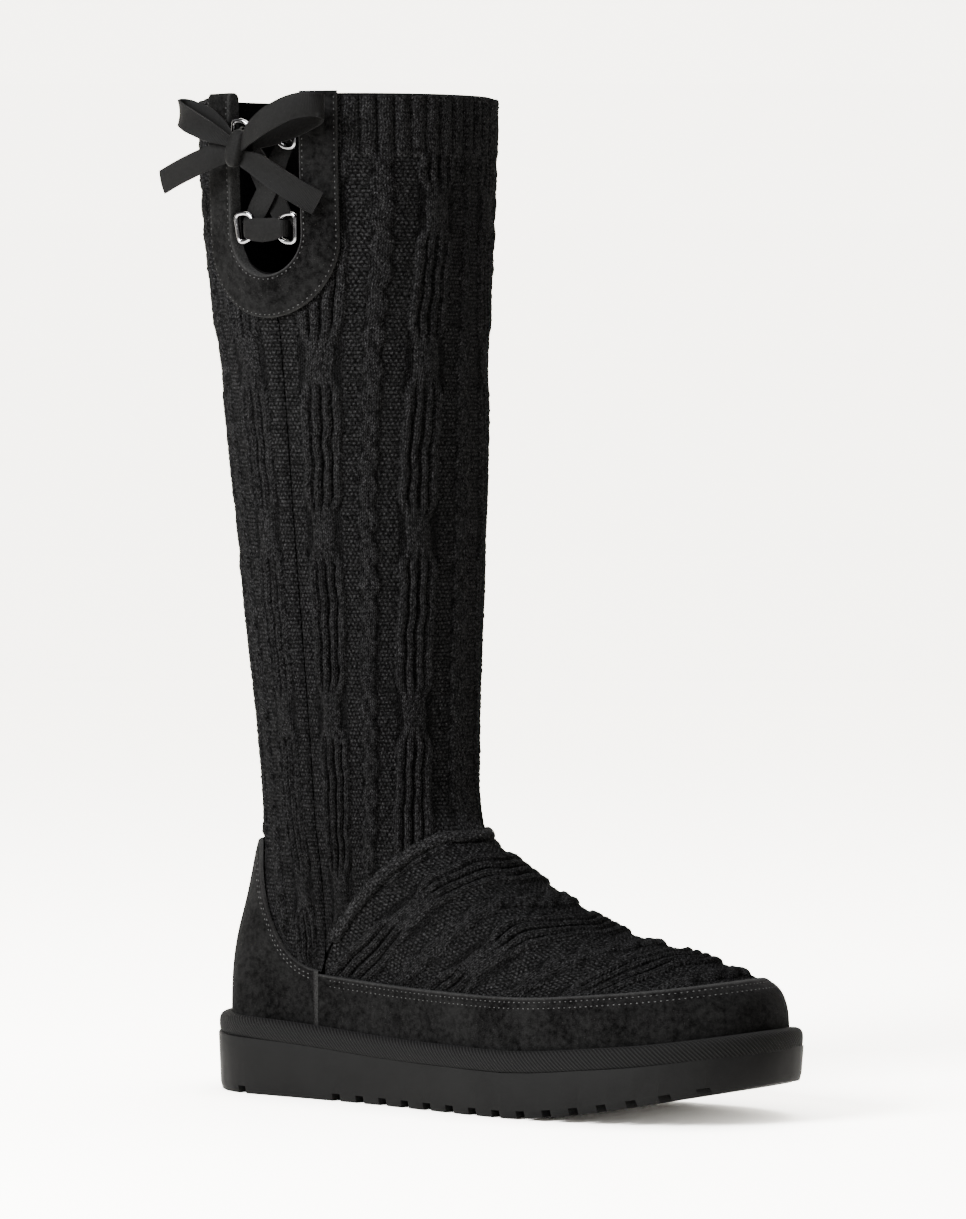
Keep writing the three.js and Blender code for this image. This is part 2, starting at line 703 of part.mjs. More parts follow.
// Ribbon laced through the rings: a bar between the lower rings, a cross above it
// behind the slot, and its two runs in front from the upper rings to the knot
const besideWire = ringWire / 2 + clearance + ribbonThickness / 2 + 0.05;
const knotPlace = { ahead: -7.6, drop: 23.4, out: 7.5 };
const knotHalf = { long: 0.78 * ribbonWidth, wide: 0.4 * ribbonWidth, deep: 0.37 * ribbonWidth };
function laceCrossings() {
  const narrow = 0.66;
  const low = lowerRingDrop;
  const lowLevel = ringOut(low);
  const lowBehind = lowLevel - besideWire;
  const lowBefore = lowLevel + besideWire;
  const front = opening(ringTable.d_ring_lower_front);
  const back = -opening(ringTable.d_ring_lower_back);
  const bar = [
    { ahead: back, drop: low, out: lowBehind, wide: narrow },
    { ahead: back, drop: low, out: lowLevel, wide: narrow },
    { ahead: back + 1.3, drop: low, out: lowBefore - 0.1, wide: narrow },
    { ahead: back * 0.55, drop: low + 0.2, out: lowBefore, wide: 0.9 },
    { ahead: 0, drop: low + 0.6, out: lowBefore + 0.2, wide: 0.96 },
    { ahead: front * 0.55, drop: low + 0.2, out: lowBefore, wide: 0.9 },
    { ahead: front - 1.3, drop: low, out: lowBefore - 0.1, wide: narrow },
    { ahead: front, drop: low, out: lowLevel, wide: narrow },
    { ahead: front, drop: low, out: lowBehind, wide: narrow },
  ];
  const high = upperRingDrop + 0.3;
  const highLevel = ringOut(upperRingDrop);
  const highBehind = highLevel - besideWire;
  const highBefore = highLevel + besideWire;
  const upper = opening(ringTable.d_ring_upper_front);
  const crossDrop = (low + upperRingDrop) / 2 + 3.4;
  const crossOut = (lowBehind + highBehind) / 2;
  const cross = (side, deeper) => {
    const foot = side > 0 ? back : front;
    const footOut = mix(lowBehind, crossOut, 0.5) - deeper / 2;
    const headOut = mix(highBehind, crossOut, 0.5) - deeper / 2;
    return [
      { ahead: foot, drop: low - 0.6, out: lowBehind, wide: 0.75 },
      { ahead: foot / 2, drop: mix(low, crossDrop, 0.5), out: footOut, wide: 0.97 },
      { ahead: 0, drop: crossDrop, out: crossOut - deeper, wide: 1 },
      { ahead: (side * upper) / 2, drop: mix(high, crossDrop, 0.5), out: headOut, wide: 0.97 },
      { ahead: side * upper, drop: high + 1.6, out: highBehind, wide: 0.75 },
    ];
  };
  const knotBack = knotPlace.out - knotHalf.deep - clearance - ribbonThickness / 2;
  const out = (side) => [
    { ahead: side * upper, drop: high, out: highBehind, wide: narrow },
    { ahead: side * upper, drop: high, out: highLevel, wide: narrow },
    { ahead: side * (upper - 0.9), drop: high + 0.2, out: highBefore + 0.3, wide: 0.55 },
  ];
  const frontRun = [
    ...out(1),
    { ahead: mix(upper, knotPlace.ahead, 0.55), drop: high + 1.4, out: mix(highBefore, knotBack, 0.2), wide: 0.6 },
    { ahead: knotPlace.ahead + 1.2, drop: knotPlace.drop - 0.4, out: knotBack, wide: 0.55 },
  ];
  const backRun = [...out(-1), { ahead: -upper + 1.4, drop: high + 0.8, out: knotBack, wide: 0.5 }];
  return shape(
    solid(ribbonStrip(bar, 16))
      .add(solid(ribbonStrip(cross(1, 0), 4)))
      .add(solid(ribbonStrip(cross(-1, ribbonThickness + 0.1), 4)))
      .add(solid(ribbonStrip(frontRun, 10)))
      .add(solid(ribbonStrip(backRun, 6))),
  );
}

// Bow: rows from the knot out along each loop and back, and out along each end.
// Front is towards the toe. Places are chosen by hand.
const bowTable = {
  bow_loop_front: [
    { ahead: -2.4, drop: 21.4, out: 9.4, wide: 0.5 },
    { ahead: 3.5, drop: 17.6, out: 12.4, wide: 0.85 },
    { ahead: 13.5, drop: 12.2, out: 14.2, wide: 1 },
    { ahead: 24.5, drop: 7.8, out: 13.8, wide: 1 },
    { ahead: 32.5, drop: 6.4, out: 11, wide: 1 },
    { ahead: 35.6, drop: 7.2, out: 7.2, wide: 1 },
    { ahead: 32, drop: 9.6, out: 4.4, wide: 1 },
    { ahead: 21, drop: 13.8, out: 3.8, wide: 1 },
    { ahead: 8.5, drop: 18.4, out: 4.2, wide: 0.8 },
    { ahead: -1.6, drop: 21.6, out: 5, wide: 0.5 },
  ],
  bow_loop_back: [
    { ahead: -10.7, drop: 20.6, out: 8.6, wide: 0.4 },
    { ahead: -19.5, drop: 16.2, out: 12, wide: 0.85 },
    { ahead: -28.5, drop: 12, out: 12.2, wide: 1 },
    { ahead: -35, drop: 9, out: 10, wide: 1 },
    { ahead: -37.4, drop: 7.6, out: 6.6, wide: 1 },
    { ahead: -34.6, drop: 8, out: 3.6, wide: 1 },
    { ahead: -26, drop: 11.2, out: 3, wide: 1 },
    { ahead: -18.5, drop: 15.2, out: 3.6, wide: 0.8 },
    { ahead: -11.4, drop: 20, out: 5.2, wide: 0.4 },
  ],
  bow_end_front: [
    { ahead: -4.3, drop: 27.6, out: 7, wide: 0.7 },
    { ahead: 3.2, drop: 30.6, out: 7.6, wide: 1 },
    { ahead: 12, drop: 36, out: 6.6, wide: 1 },
    { ahead: 20.5, drop: 41.3, out: 4, wide: 1 },
    { ahead: 28.6, drop: 46.2, out: 0.2, wide: 1 },
  ],
  bow_end_back: [
    { ahead: -12.9, drop: 25, out: 6.8, wide: 0.8 },
    { ahead: -21, drop: 27, out: 8, wide: 1 },
    { ahead: -31, drop: 30.2, out: 7.4, wide: 1 },
    { ahead: -40, drop: 33.2, out: 6, wide: 1 },
    { ahead: -48.8, drop: 36.4, out: 4.2, wide: 1 },
  ],
};

// Knot: a rounded, slightly tilted band around the middle of the bow
function bowKnot() {
  const geometry = new THREE.SphereGeometry(1, 12, 8);
  geometry.scale(knotHalf.wide, knotHalf.deep, knotHalf.long);
  geometry.rotateY(THREE.MathUtils.degToRad(18));
  const place = atSlot(knotPlace.ahead, knotPlace.drop, knotPlace.out);
  geometry.translate(place.x, place.y, place.z);
  return geometry;
}

const boot = new THREE.Group();
function add(name, geometry, material) {
  const mesh = new THREE.Mesh(geometry, material);
  mesh.name = name;
  boot.add(mesh);
}

add("outsole", outsole(), rubberMaterial());
add("binding", binding(), tapeMaterial());
add("foxing", foxing(), suedeMaterial());
add("heel_counter", counter(), suedeMaterial());
add("upper", upper(), knitMaterial());
add("collar_patch", collarPatch(), suedeMaterial());
add("vamp_seam", vampSeam(), knitMaterial());
add("insole", insole(), liningMaterial());
for (const [name, ring] of Object.entries(ringTable)) {
  add(name, dRing(ring), nickelMaterial());
}
add("lace_crossings", laceCrossings(), ribbonMaterial());
add("bow_knot", bowKnot(), ribbonMaterial());
for (const [name, rows] of Object.entries(bowTable)) {
  add(name, ribbonStrip(rows, 2 * (rows.length - 1)), ribbonMaterial());
}

export default boot;
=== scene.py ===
# %% [markdown]
# # A knit sweater boot
# The real boot is a knitted tube with a suede foxing and heel counter, sewn to a thick
# rubber sole, with a ribbon bow laced through metal D rings at the collar. The packed
# CAD model gives every place and size, and this script dresses it: each visible piece
# is modelled over the CAD solids and gets a material built from nodes.
# The boot's lengths are in millimetres, and are turned into metres as they reach
# Blender. The camera, the lights and the floor are placed in metres.

import math

import bpy
import numpy as np
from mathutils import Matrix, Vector
from mathutils.bvhtree import BVHTree


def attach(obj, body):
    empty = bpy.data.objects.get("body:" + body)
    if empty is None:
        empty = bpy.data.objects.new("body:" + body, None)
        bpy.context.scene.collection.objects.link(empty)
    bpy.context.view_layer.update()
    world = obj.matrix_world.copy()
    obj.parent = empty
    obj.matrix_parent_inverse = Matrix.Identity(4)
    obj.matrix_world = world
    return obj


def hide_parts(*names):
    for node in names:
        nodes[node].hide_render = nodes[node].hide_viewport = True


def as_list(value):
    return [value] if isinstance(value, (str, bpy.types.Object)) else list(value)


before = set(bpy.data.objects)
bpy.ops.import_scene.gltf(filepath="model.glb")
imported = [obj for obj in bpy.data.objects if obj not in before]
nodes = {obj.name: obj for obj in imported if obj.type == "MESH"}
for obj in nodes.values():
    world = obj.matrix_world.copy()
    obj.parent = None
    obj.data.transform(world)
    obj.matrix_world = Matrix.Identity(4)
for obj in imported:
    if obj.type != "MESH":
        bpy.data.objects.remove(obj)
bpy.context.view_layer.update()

# %% [markdown]
# ## Sizes that the pieces share
# The leg is an oval that grows from ankle to collar, and the slot and its patch are
# U shapes in the outer side of the collar. They are repeated here because every knit
# column, patch edge and row of stitches is placed from them.

# %% Shared sizes
MM = 0.001
COLLAR = 413.0
ANKLE = 116.0
SLOT_MIDDLE = -78.7
COLLAR_HALF = 57.8
ANKLE_OVAL = (-67.0, 45.2, 40.5)
COLLAR_OVAL = (SLOT_MIDDLE, 62.6, COLLAR_HALF)
SLOT_HALF, SLOT_DROP = 17.0, 57.0
PATCH_HALF, PATCH_DROP = 32.5, 59.5
COUNTER_SEAM = -69.5
COUNTER_STRAP = -102.5
COUNTER_TOP = 105.0
FOXING_RISE = 29.0


def leg_oval(z):
    """Middle, half depth and half width of the leg at a height."""
    k = np.clip((np.asarray(z, float) - ANKLE) / (COLLAR - ANKLE), 0, 1)
    return tuple(low + (high - low) * k for low, high in zip(ANKLE_OVAL, COLLAR_OVAL))


def smoothstep(low, high, value):
    k = np.clip((value - low) / (high - low), 0, 1)
    return k * k * (3 - 2 * k)

# %% [markdown]
# ## Small helpers
# A helper each for what every piece needs: making one object active, applying a
# modifier or an edit, reading and writing all vertices at once, and dressing the piece.

# %% Helpers
def activate(obj):
    if bpy.context.mode != "OBJECT":
        bpy.ops.object.mode_set(mode="OBJECT")
    bpy.ops.object.select_all(action="DESELECT")
    obj.select_set(True)
    bpy.context.view_layer.objects.active = obj


def modify(obj, kind, **settings):
    modifier = obj.modifiers.new(kind.lower(), kind)
    for key, value in settings.items():
        setattr(modifier, key, value)
    activate(obj)
    bpy.ops.object.modifier_apply(modifier=modifier.name)


def edit(obj, operator, **settings):
    """Runs one edit mode operator on the whole of a mesh."""
    activate(obj)
    bpy.ops.object.mode_set(mode="EDIT")
    bpy.ops.mesh.select_all(action="SELECT")
    operator(**settings)
    bpy.ops.object.mode_set(mode="OBJECT")


def unit(vectors):
    """The same directions, with a length of one."""
    return vectors / (np.linalg.norm(vectors, axis=-1)[..., None] + 1e-12)


def pace_along(path):
    """How far each place of a path is from its start, along it."""
    return np.concatenate([[0], np.cumsum(np.linalg.norm(np.diff(path, axis=0), axis=1))])


def read_points(obj):
    """All vertices in millimetres, a row each."""
    co = np.empty(len(obj.data.vertices) * 3, np.float64)
    obj.data.vertices.foreach_get("co", co)
    return co.reshape(-1, 3) / MM


def write_points(obj, points):
    obj.data.vertices.foreach_set("co", (np.asarray(points) * MM).ravel())
    obj.data.update()


def read_normals(obj):
    normals = np.empty(len(obj.data.vertices) * 3, np.float64)
    obj.data.vertex_normals.foreach_get("vector", normals)
    return normals.reshape(-1, 3)


def sheet_places(obj):
    """Where each vertex of a sheet lies in it: shares along and across, from its UV map."""
    mesh = obj.data
    uv = np.empty(len(mesh.loops) * 2)
    mesh.uv_layers[0].data.foreach_get("uv", uv)
    corner = np.empty(len(mesh.loops), int)
    mesh.loops.foreach_get("vertex_index", corner)
    places = np.zeros((len(mesh.vertices), 2))
    places[corner] = uv.reshape(-1, 2)
    return places[:, 0], places[:, 1]


def write_uv(obj, u, v):
    """Sets the UV map from one pair of lengths, in centimetres, for each vertex."""
    mesh = obj.data
    corner = np.empty(len(mesh.loops), int)
    mesh.loops.foreach_get("vertex_index", corner)
    layer = mesh.uv_layers[0] if mesh.uv_layers else mesh.uv_layers.new(name="UVMap")
    layer.name = "cloth"
    layer.data.foreach_set("uv", np.stack([u[corner], v[corner]], 1).ravel())


def write_attribute(obj, name, values):
    layer = obj.data.attributes.new(name, "FLOAT", "POINT")
    layer.data.foreach_set("value", np.asarray(values, np.float32))


def delete_vertices(obj, doomed):
    activate(obj)
    bpy.ops.object.mode_set(mode="EDIT")
    bpy.ops.mesh.select_mode(type="VERT")
    bpy.ops.mesh.select_all(action="DESELECT")
    bpy.ops.object.mode_set(mode="OBJECT")
    obj.data.vertices.foreach_set("select", np.asarray(doomed, bool))
    bpy.ops.object.mode_set(mode="EDIT")
    bpy.ops.mesh.delete(type="VERT")
    bpy.ops.object.mode_set(mode="OBJECT")


def dress(obj, name, slot, material, *stands_for):
    """Names a finished piece, sets its material and lets it ride on the boot."""
    obj.name = name
    obj.data.name = name
    obj.data.materials.clear()
    obj.data.materials.append(material)
    activate(obj)
    bpy.ops.object.shade_smooth_by_angle(angle=math.radians(50))
    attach(obj, "root")
    if stands_for:
        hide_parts(*stands_for)
    return obj


def copy_of(name):
    """A welded copy of a CAD node, to change while the node itself stays as it is."""
    obj = nodes[name].copy()
    obj.data = nodes[name].data.copy()
    bpy.context.scene.collection.objects.link(obj)
    edit(obj, bpy.ops.mesh.remove_doubles, threshold=1e-6)
    edit(obj, bpy.ops.mesh.customdata_custom_splitnormals_clear)
    return obj


def cad_tree(name):
    mesh = nodes[name].data
    mesh.calc_loop_triangles()
    points = [v.co / MM for v in mesh.vertices]
    return BVHTree.FromPolygons(points, [t.vertices[:] for t in mesh.loop_triangles])


upper_tree = cad_tree("upper")
sole_tree = cad_tree("outsole")

# heights of the sole's top along the boot, found from above, just beside its middle
SOLE_X = np.linspace(-134, 134, 68)
SOLE_Z = np.array([sole_tree.ray_cast(Vector((x, 2, 80)), Vector((0, 0, -1)))[0][2] for x in SOLE_X])
print("sole top, mm, heel to toe:", np.round(SOLE_Z[::17], 1))

# %% [markdown]
# ## Camera
# The photograph looks at the outer side from the front, 36 degrees round from a side
# view, from a little above the boot's middle and with a long lens. The far camera
# keeps the leg's sides nearly straight, as they are in the photograph.

# %% Camera
CAMERA_TURN = math.radians(36)
CAMERA_FAR, CAMERA_HIGH = 2.7, 0.299
AIM_ASIDE, AIM_HIGH = -0.0078, 0.2017
right = Vector((math.cos(CAMERA_TURN), math.sin(CAMERA_TURN), 0))
forward = Vector((-math.sin(CAMERA_TURN), math.cos(CAMERA_TURN), 0))
up = Vector((0, 0, 1))
place = -forward * CAMERA_FAR + up * CAMERA_HIGH
aim = right * AIM_ASIDE + up * AIM_HIGH
lens = bpy.data.cameras.new("camera")
lens.sensor_fit = "VERTICAL"
lens.sensor_height = 36
lens.lens = 195.4
lens.clip_end = 30
camera = bpy.data.objects.new("camera", lens)
camera.location = place
camera.rotation_euler = (aim - place).to_track_quat("-Z", "Y").to_euler()
bpy.context.scene.collection.objects.link(camera)
bpy.context.scene.camera = camera
print("camera at, m:", [round(v, 3) for v in place])

# %% [markdown]
# ## Light
# A photographer's soft boxes are square panels. The strong one stands at the left, so
# the toe and the right side fall off into shade, a weak one fills in from the right,
# and one above and behind draws the edge of the collar. The room itself is pale.


# %% Light
BOOT_MIDDLE = Vector((-0.02, 0, 0.2))


def panel(name, size, power, place):
    """A square soft light that faces the boot."""
    light = bpy.data.lights.new(name, "AREA")
    light.shape = "SQUARE"
    light.size = size
    light.energy = power
    lamp = bpy.data.objects.new(name, light)
    lamp.location = place
    lamp.rotation_euler = (BOOT_MIDDLE - place).to_track_quat("-Z", "Y").to_euler()
    bpy.context.scene.collection.objects.link(lamp)


panel("key", 1.0, 470, -forward * 1.2 - right * 1.5 + up * 1.3)
panel("fill", 1.2, 9, -forward * 1.7 + right * 1.6 + up * 0.9)
panel("top", 1.4, 110, Vector((0.1, 0.5, 2.1)))

world = bpy.data.worlds.new("room")
bpy.context.scene.world = world
world.use_nodes = True
room = world.node_tree.nodes["Background"].inputs
room["Color"].default_value = (1.0, 0.985, 0.955, 1)
room["Strength"].default_value = 0.45
print("lights:", [light.name for light in bpy.data.lights])

# %% [markdown]
# ## Floor
# A studio's paper roll is one sheet that lies flat and curves up far behind the boot,
# so no edge shows. It glows a little, which keeps it nearly white beside a black boot,
# and its glow is turned down where the sole stands close over it: a painted contact shadow.

# %% Floor
PAPER_SIZE, PAPER_NEAR = 16, 6
FLAT_TO, BEND = 3.2, 1.5
GLOW, SHADOW_REACH = 3.55, 0.03
bpy.ops.mesh.primitive_grid_add(x_subdivisions=2, y_subdivisions=80, size=1)
floor = bpy.context.object
floor.name = "floor"
shares = read_points(floor) * MM + 0.5
along = shares[:, 1] * PAPER_SIZE - PAPER_NEAR
arc = np.clip((along - FLAT_TO) / BEND, 0, math.pi / 2)
away = np.where(along < FLAT_TO, along, FLAT_TO + BEND * np.sin(arc))
across = (shares[:, 0] - 0.5) * PAPER_SIZE
flat = np.outer(across, right) + np.outer(away, forward)
flat[:, 2] = BEND * (1 - np.cos(arc)) + np.maximum(along - FLAT_TO - BEND * math.pi / 2, 0) - 0.0002
write_points(floor, flat / MM)

paper = bpy.data.materials.new("paper")
paper.use_nodes = True
tree = paper.node_tree
shader = tree.nodes["Principled BSDF"].inputs
shader["Base Color"].default_value = (0.9, 0.888, 0.862, 1)
shader["Roughness"].default_value = 0.9
shader["Emission Color"].default_value = (1.0, 0.955, 0.87, 1)
# painted contact shadow: ambient occlusion turns the floor's glow down where the sole stands close over it
painted_contact_shadow = tree.nodes.new("ShaderNodeAmbientOcclusion")
painted_contact_shadow.inputs["Distance"].default_value = SHADOW_REACH
painted_contact_shadow.samples = 2
glow = tree.nodes.new("ShaderNodeMath")
glow.operation = "MULTIPLY"
glow.inputs[1].default_value = GLOW
tree.links.new(painted_contact_shadow.outputs["AO"], glow.inputs[0])
tree.links.new(glow.outputs[0], shader["Emission Strength"])
floor.data.materials.append(paper)
print("paper, m:", PAPER_SIZE, "square, rises", round(float(flat[:, 2].max()), 2))

# %% [markdown]
# ## Materials
# Each material is a short graph of nodes. Knit, tape and ribbon read their own UV map,
# in centimetres of cloth; suede, rubber and metal read the object's own coordinates.

# %% Material helpers
class Graph:
    """A material's node tree, with short calls to add and join nodes."""

    def __init__(self, name, **settings):
        self.material = bpy.data.materials.new(name)
        self.material.use_nodes = True
        self.tree = self.material.node_tree
        self.shader = self.tree.nodes["Principled BSDF"]
        for key, value in settings.items():
            self.shader.inputs[key.replace("_", " ")].default_value = value

    def node(self, kind, *inputs, **settings):
        made = self.tree.nodes.new("ShaderNode" + kind)
        for key, value in settings.items():
            setattr(made, key, value)
        for socket, value in zip(made.inputs, inputs):
            self.set(socket, value)
        return made

    def set(self, socket, value):
        if value is None:
            return
        if hasattr(value, "is_output"):
            self.tree.links.new(value, socket)
        else:
            socket.default_value = value

    def math(self, operation, a, b=0.0, c=0.0):
        return self.node("Math", a, b, c, operation=operation).outputs[0]

    def noise(self, coordinates, scale, detail=2.0, roughness=0.5):
        made = self.node("TexNoise")
        self.set(made.inputs["Vector"], coordinates)
        made.inputs["Scale"].default_value = scale
        made.inputs["Detail"].default_value = detail
        made.inputs["Roughness"].default_value = roughness
        return made.outputs["Fac"]

    def spread(self, value, low, high, to_low, to_high):
        return self.node("MapRange", value, low, high, to_low, to_high).outputs[0]

    def object_place(self):
        return self.node("TexCoord").outputs["Object"]

    def cloth(self):
        """The two lengths of the cloth's UV map, in millimetres."""
        uv = self.node("UVMap", uv_map="cloth").outputs[0]
        parts = self.node("SeparateXYZ", uv).outputs
        return self.math("MULTIPLY", parts[0], 10.0), self.math("MULTIPLY", parts[1], 10.0)

    def greys(self, factor, dark, light, blue=1.0):
        """Base colour between two greys, the light one with a little more or less blue."""
        mixed = self.node("Mix", data_type="RGBA", clamp_factor=False)
        self.set(mixed.inputs[0], factor)
        mixed.inputs[6].default_value = (dark, dark, dark, 1)
        mixed.inputs[7].default_value = (light, light, light * blue, 1)
        self.tree.links.new(mixed.outputs[2], self.shader.inputs["Base Color"])

    def bump(self, *layers):
        """Bumps on top of each other, each (height, strength, depth in mm)."""
        normal = None
        for height, strength, depth in layers:
            made = self.node("Bump")
            made.inputs["Strength"].default_value = strength
            made.inputs["Distance"].default_value = depth * MM
            self.set(made.inputs["Height"], height)
            self.set(made.inputs["Normal"], normal)
            normal = made.outputs[0]
        self.tree.links.new(normal, self.shader.inputs["Normal"])

# %% [markdown]
# The yarn is a matte black wool blend. On the cables the stitches stand as small Vs,
# and on the ground between them as rows of purl bumps. The purl attribute of the knit
# sheets says which is where. Fine noise gives the fuzz of the yarn. The colour is also
# darker in the gaps between the loops and in the hollows between the cables: painted shade.

# %% Knit
WALE, COURSE = 1.9, 1.6


def knit_material():
    g = Graph("knit", Roughness=0.95, Specular_IOR_Level=0.008, Sheen_Weight=0.003)
    across, along = g.cloth()
    column = g.math("DIVIDE", across, WALE)
    row = g.math("DIVIDE", along, COURSE)
    side = g.math("ABSOLUTE", g.math("SUBTRACT", g.math("FRACT", column), 0.5))
    leg = g.math("SUBTRACT", 1.0, g.math("ABSOLUTE", g.math("MULTIPLY_ADD", side, 4.0, -1.0)))
    slant = g.math("MULTIPLY_ADD", side, 1.5, row)
    wave = g.math("MULTIPLY_ADD", g.math("SINE", g.math("MULTIPLY", slant, 2 * math.pi)), 0.5, 0.5)
    plain = g.math("MULTIPLY", g.math("POWER", leg, 0.6), g.math("MULTIPLY_ADD", wave, 0.75, 0.25))
    step = g.math("MULTIPLY", g.math("FLOOR", row), 0.5)
    brick = g.math("ABSOLUTE", g.math("SINE", g.math("MULTIPLY", g.math("ADD", column, step), math.pi)))
    course_hump = g.math("ABSOLUTE", g.math("SINE", g.math("MULTIPLY", row, math.pi)))
    purl = g.math("MULTIPLY", g.math("POWER", brick, 0.7), g.math("POWER", course_hump, 0.8))
    purled = g.node("Attribute", attribute_name="purl").outputs["Fac"]
    stitch = g.node("Mix", data_type="FLOAT")
    g.set(stitch.inputs[0], purled)
    g.set(stitch.inputs[2], plain)
    g.set(stitch.inputs[3], purl)
    place = g.object_place()
    fuzz = g.noise(place, 1900, 3.0, 0.7)
    lumps = g.noise(place, 620, 2.0)
    speck = g.noise(place, 820, 2.0, 0.6)
    deep = g.node("Attribute", attribute_name="hollow_shade").outputs["Fac"]
    # the stitch pattern also sets the colour, darkest in the gaps between the loops: painted shade
    shade = g.spread(stitch.outputs[0], 0.0, 1.0, 0.12, 1.15)
    shade = g.math("MULTIPLY", shade, g.spread(fuzz, 0.35, 0.68, 0.25, 1.5))
    # the deeper the hollow between the cables, the darker the colour: painted shade
    shade = g.math("MULTIPLY", shade, g.spread(deep, 0.0, 1.0, 1.0, 0.42))
    shade = g.math("MULTIPLY", shade, g.spread(purled, 0.0, 1.0, 1.0, 1.3))
    shade = g.math("MULTIPLY", shade, g.spread(speck, 0.38, 0.62, 0.35, 1.75))
    g.greys(shade, 0.0001, 0.01, blue=1.03)
    g.bump((lumps, 1.0, 1.8), (stitch.outputs[0], 1.0, 1.6), (fuzz, 1.0, 0.7))
    return g.material


knit = knit_material()
print("knit, mm:", WALE, "a column,", COURSE, "a row")

# %% [markdown]
# Suede has a short nap: almost no gloss, fine grain, and soft patches where the nap
# lies another way, with a lighter raw edge where it is cut. The rubber is matte, with
# faint scuffs and a pebble.


# %% Suede and rubber
def suede_material():
    g = Graph("suede", Roughness=0.98, Specular_IOR_Level=0.008, Sheen_Weight=0.003, Sheen_Roughness=0.6)
    place = g.object_place()
    nap = g.noise(place, 1900, 4.0, 0.75)
    patch = g.noise(place, 38, 3.0, 0.6)
    tuft = g.noise(place, 420, 4.0, 0.7)
    fine = g.math("MULTIPLY_ADD", patch, 0.3, g.math("MULTIPLY", nap, 0.2))
    tone = g.math("MULTIPLY_ADD", tuft, 0.5, fine)
    edge = g.node("Attribute", attribute_name="edge").outputs["Fac"]
    raw = g.math("MULTIPLY", edge, g.spread(nap, 0.3, 0.6, 0.4, 1.6))
    tone = g.math("ADD", g.spread(tone, 0.41, 0.6, 0.0, 1.0), g.math("MULTIPLY", raw, 1.6))
    g.greys(tone, 0.0002, 0.0028)
    g.bump((patch, 0.3, 1.2), (tuft, 0.7, 0.7), (nap, 0.9, 0.35))
    return g.material


def rubber_material():
    g = Graph("rubber", Specular_IOR_Level=0.02)
    place = g.object_place()
    pebble = g.noise(place, 1500, 2.0, 0.5)
    scuff = g.noise(place, 60, 5.0, 0.7)
    g.greys(g.spread(scuff, 0.35, 0.7, 0.0, 1.0), 0.0017, 0.0025)
    g.set(g.shader.inputs["Roughness"], g.spread(scuff, 0.3, 0.7, 0.55, 0.72))
    g.bump((scuff, 0.15, 0.5), (pebble, 0.3, 0.08))
    return g.material

# %% [markdown]
# The tape is a coarse twill, so its UV map turns two sine waves across each other. The
# ribbon is grosgrain: fine ribs across it that stop at its woven edges.


# %% Tape and ribbon
def tape_material():
    g = Graph("tape", Roughness=0.8, Specular_IOR_Level=0.012, Sheen_Weight=0.003)
    across, along = g.cloth()
    twill = g.math("SINE", g.math("MULTIPLY", g.math("ADD", across, along), 2 * math.pi / 1.8))
    yarn = g.math("SINE", g.math("MULTIPLY", g.math("SUBTRACT", across, along), 2 * math.pi / 1.1))
    weave = g.math("MULTIPLY_ADD", yarn, 0.35, twill)
    fuzz = g.noise(g.object_place(), 2400, 2.0, 0.6)
    tone = g.math("ADD", g.spread(weave, -1.3, 1.3, 0.0, 0.8), g.math("MULTIPLY", fuzz, 0.3))
    g.greys(tone, 0.0001, 0.0044)
    g.bump((weave, 0.6, 0.28), (fuzz, 0.4, 0.12))
    return g.material


def ribbon_material():
    g = Graph("ribbon", Roughness=0.62, Specular_IOR_Level=0.02, Sheen_Weight=0.003)
    across, along = g.cloth()
    rib = g.math("SINE", g.math("MULTIPLY", along, 2 * math.pi / 0.62))
    selvedge = g.spread(g.math("ABSOLUTE", across), 4.2, 4.7, 1.0, 0.2)
    fuzz = g.noise(g.object_place(), 900, 3.0, 0.6)
    g.greys(g.spread(fuzz, 0.3, 0.7, 0.0, 1.0), 0.0008, 0.0015)
    g.bump((g.math("MULTIPLY", rib, selvedge), 0.35, 0.12), (fuzz, 0.25, 0.12))
    return g.material

# %% [markdown]
# The thread is a little lighter than the suede and twisted, the lining a dull pile, and
# the rings are polished nickel with slightly uneven roughness from handling.


# %% Thread, lining and nickel
def thread_material():
    g = Graph("thread", Roughness=0.7, Specular_IOR_Level=0.03)
    twist = g.noise(g.object_place(), 3000, 1.0)
    g.greys(g.spread(twist, 0.35, 0.65, 0.0, 1.0), 0.006, 0.024)
    g.bump((twist, 0.5, 0.1))
    return g.material


def lining_material():
    g = Graph("lining", Roughness=1.0, Specular_IOR_Level=0.008, Sheen_Weight=0.003)
    pile = g.noise(g.object_place(), 700, 4.0, 0.7)
    g.greys(g.spread(pile, 0.3, 0.7, 0.0, 1.0), 0.0003, 0.001)
    g.bump((pile, 0.6, 0.8))
    return g.material


def nickel_material():
    g = Graph("nickel", Base_Color=(0.15, 0.15, 0.155, 1), Metallic=1.0)
    wear = g.noise(g.object_place(), 500, 3.0)
    g.set(g.shader.inputs["Roughness"], g.spread(wear, 0.3, 0.7, 0.07, 0.18))
    g.bump((wear, 0.1, 0.05))
    return g.material


suede = suede_material()
rubber = rubber_material()
tape = tape_material()
ribbon_cloth = ribbon_material()
thread = thread_material()
lining = lining_material()
nickel = nickel_material()
print("materials:", [material.name for material in bpy.data.materials])

# %% [markdown]
# ## The ribbon bow
# On the real boot one grosgrain ribbon is laced through the D rings and tied in a bow.
# Each half of the bow is one flat cord: a free end, its way through the knot and a
# loop. A flat grid is laid along its path, the way a ribbon is pulled through, and
# thickened. Rows give a place ahead of the slot's middle, below the collar and out
# from the leg, and the ribbon's width there.


# %% Ribbon helper
RIBBON_WIDE, RIBBON_THICK, RIBBON_CURL = 10.0, 0.9, 0.06


def at_slot(ahead, drop, out):
    return np.array([SLOT_MIDDLE + ahead, -COLLAR_HALF - out, COLLAR - drop])


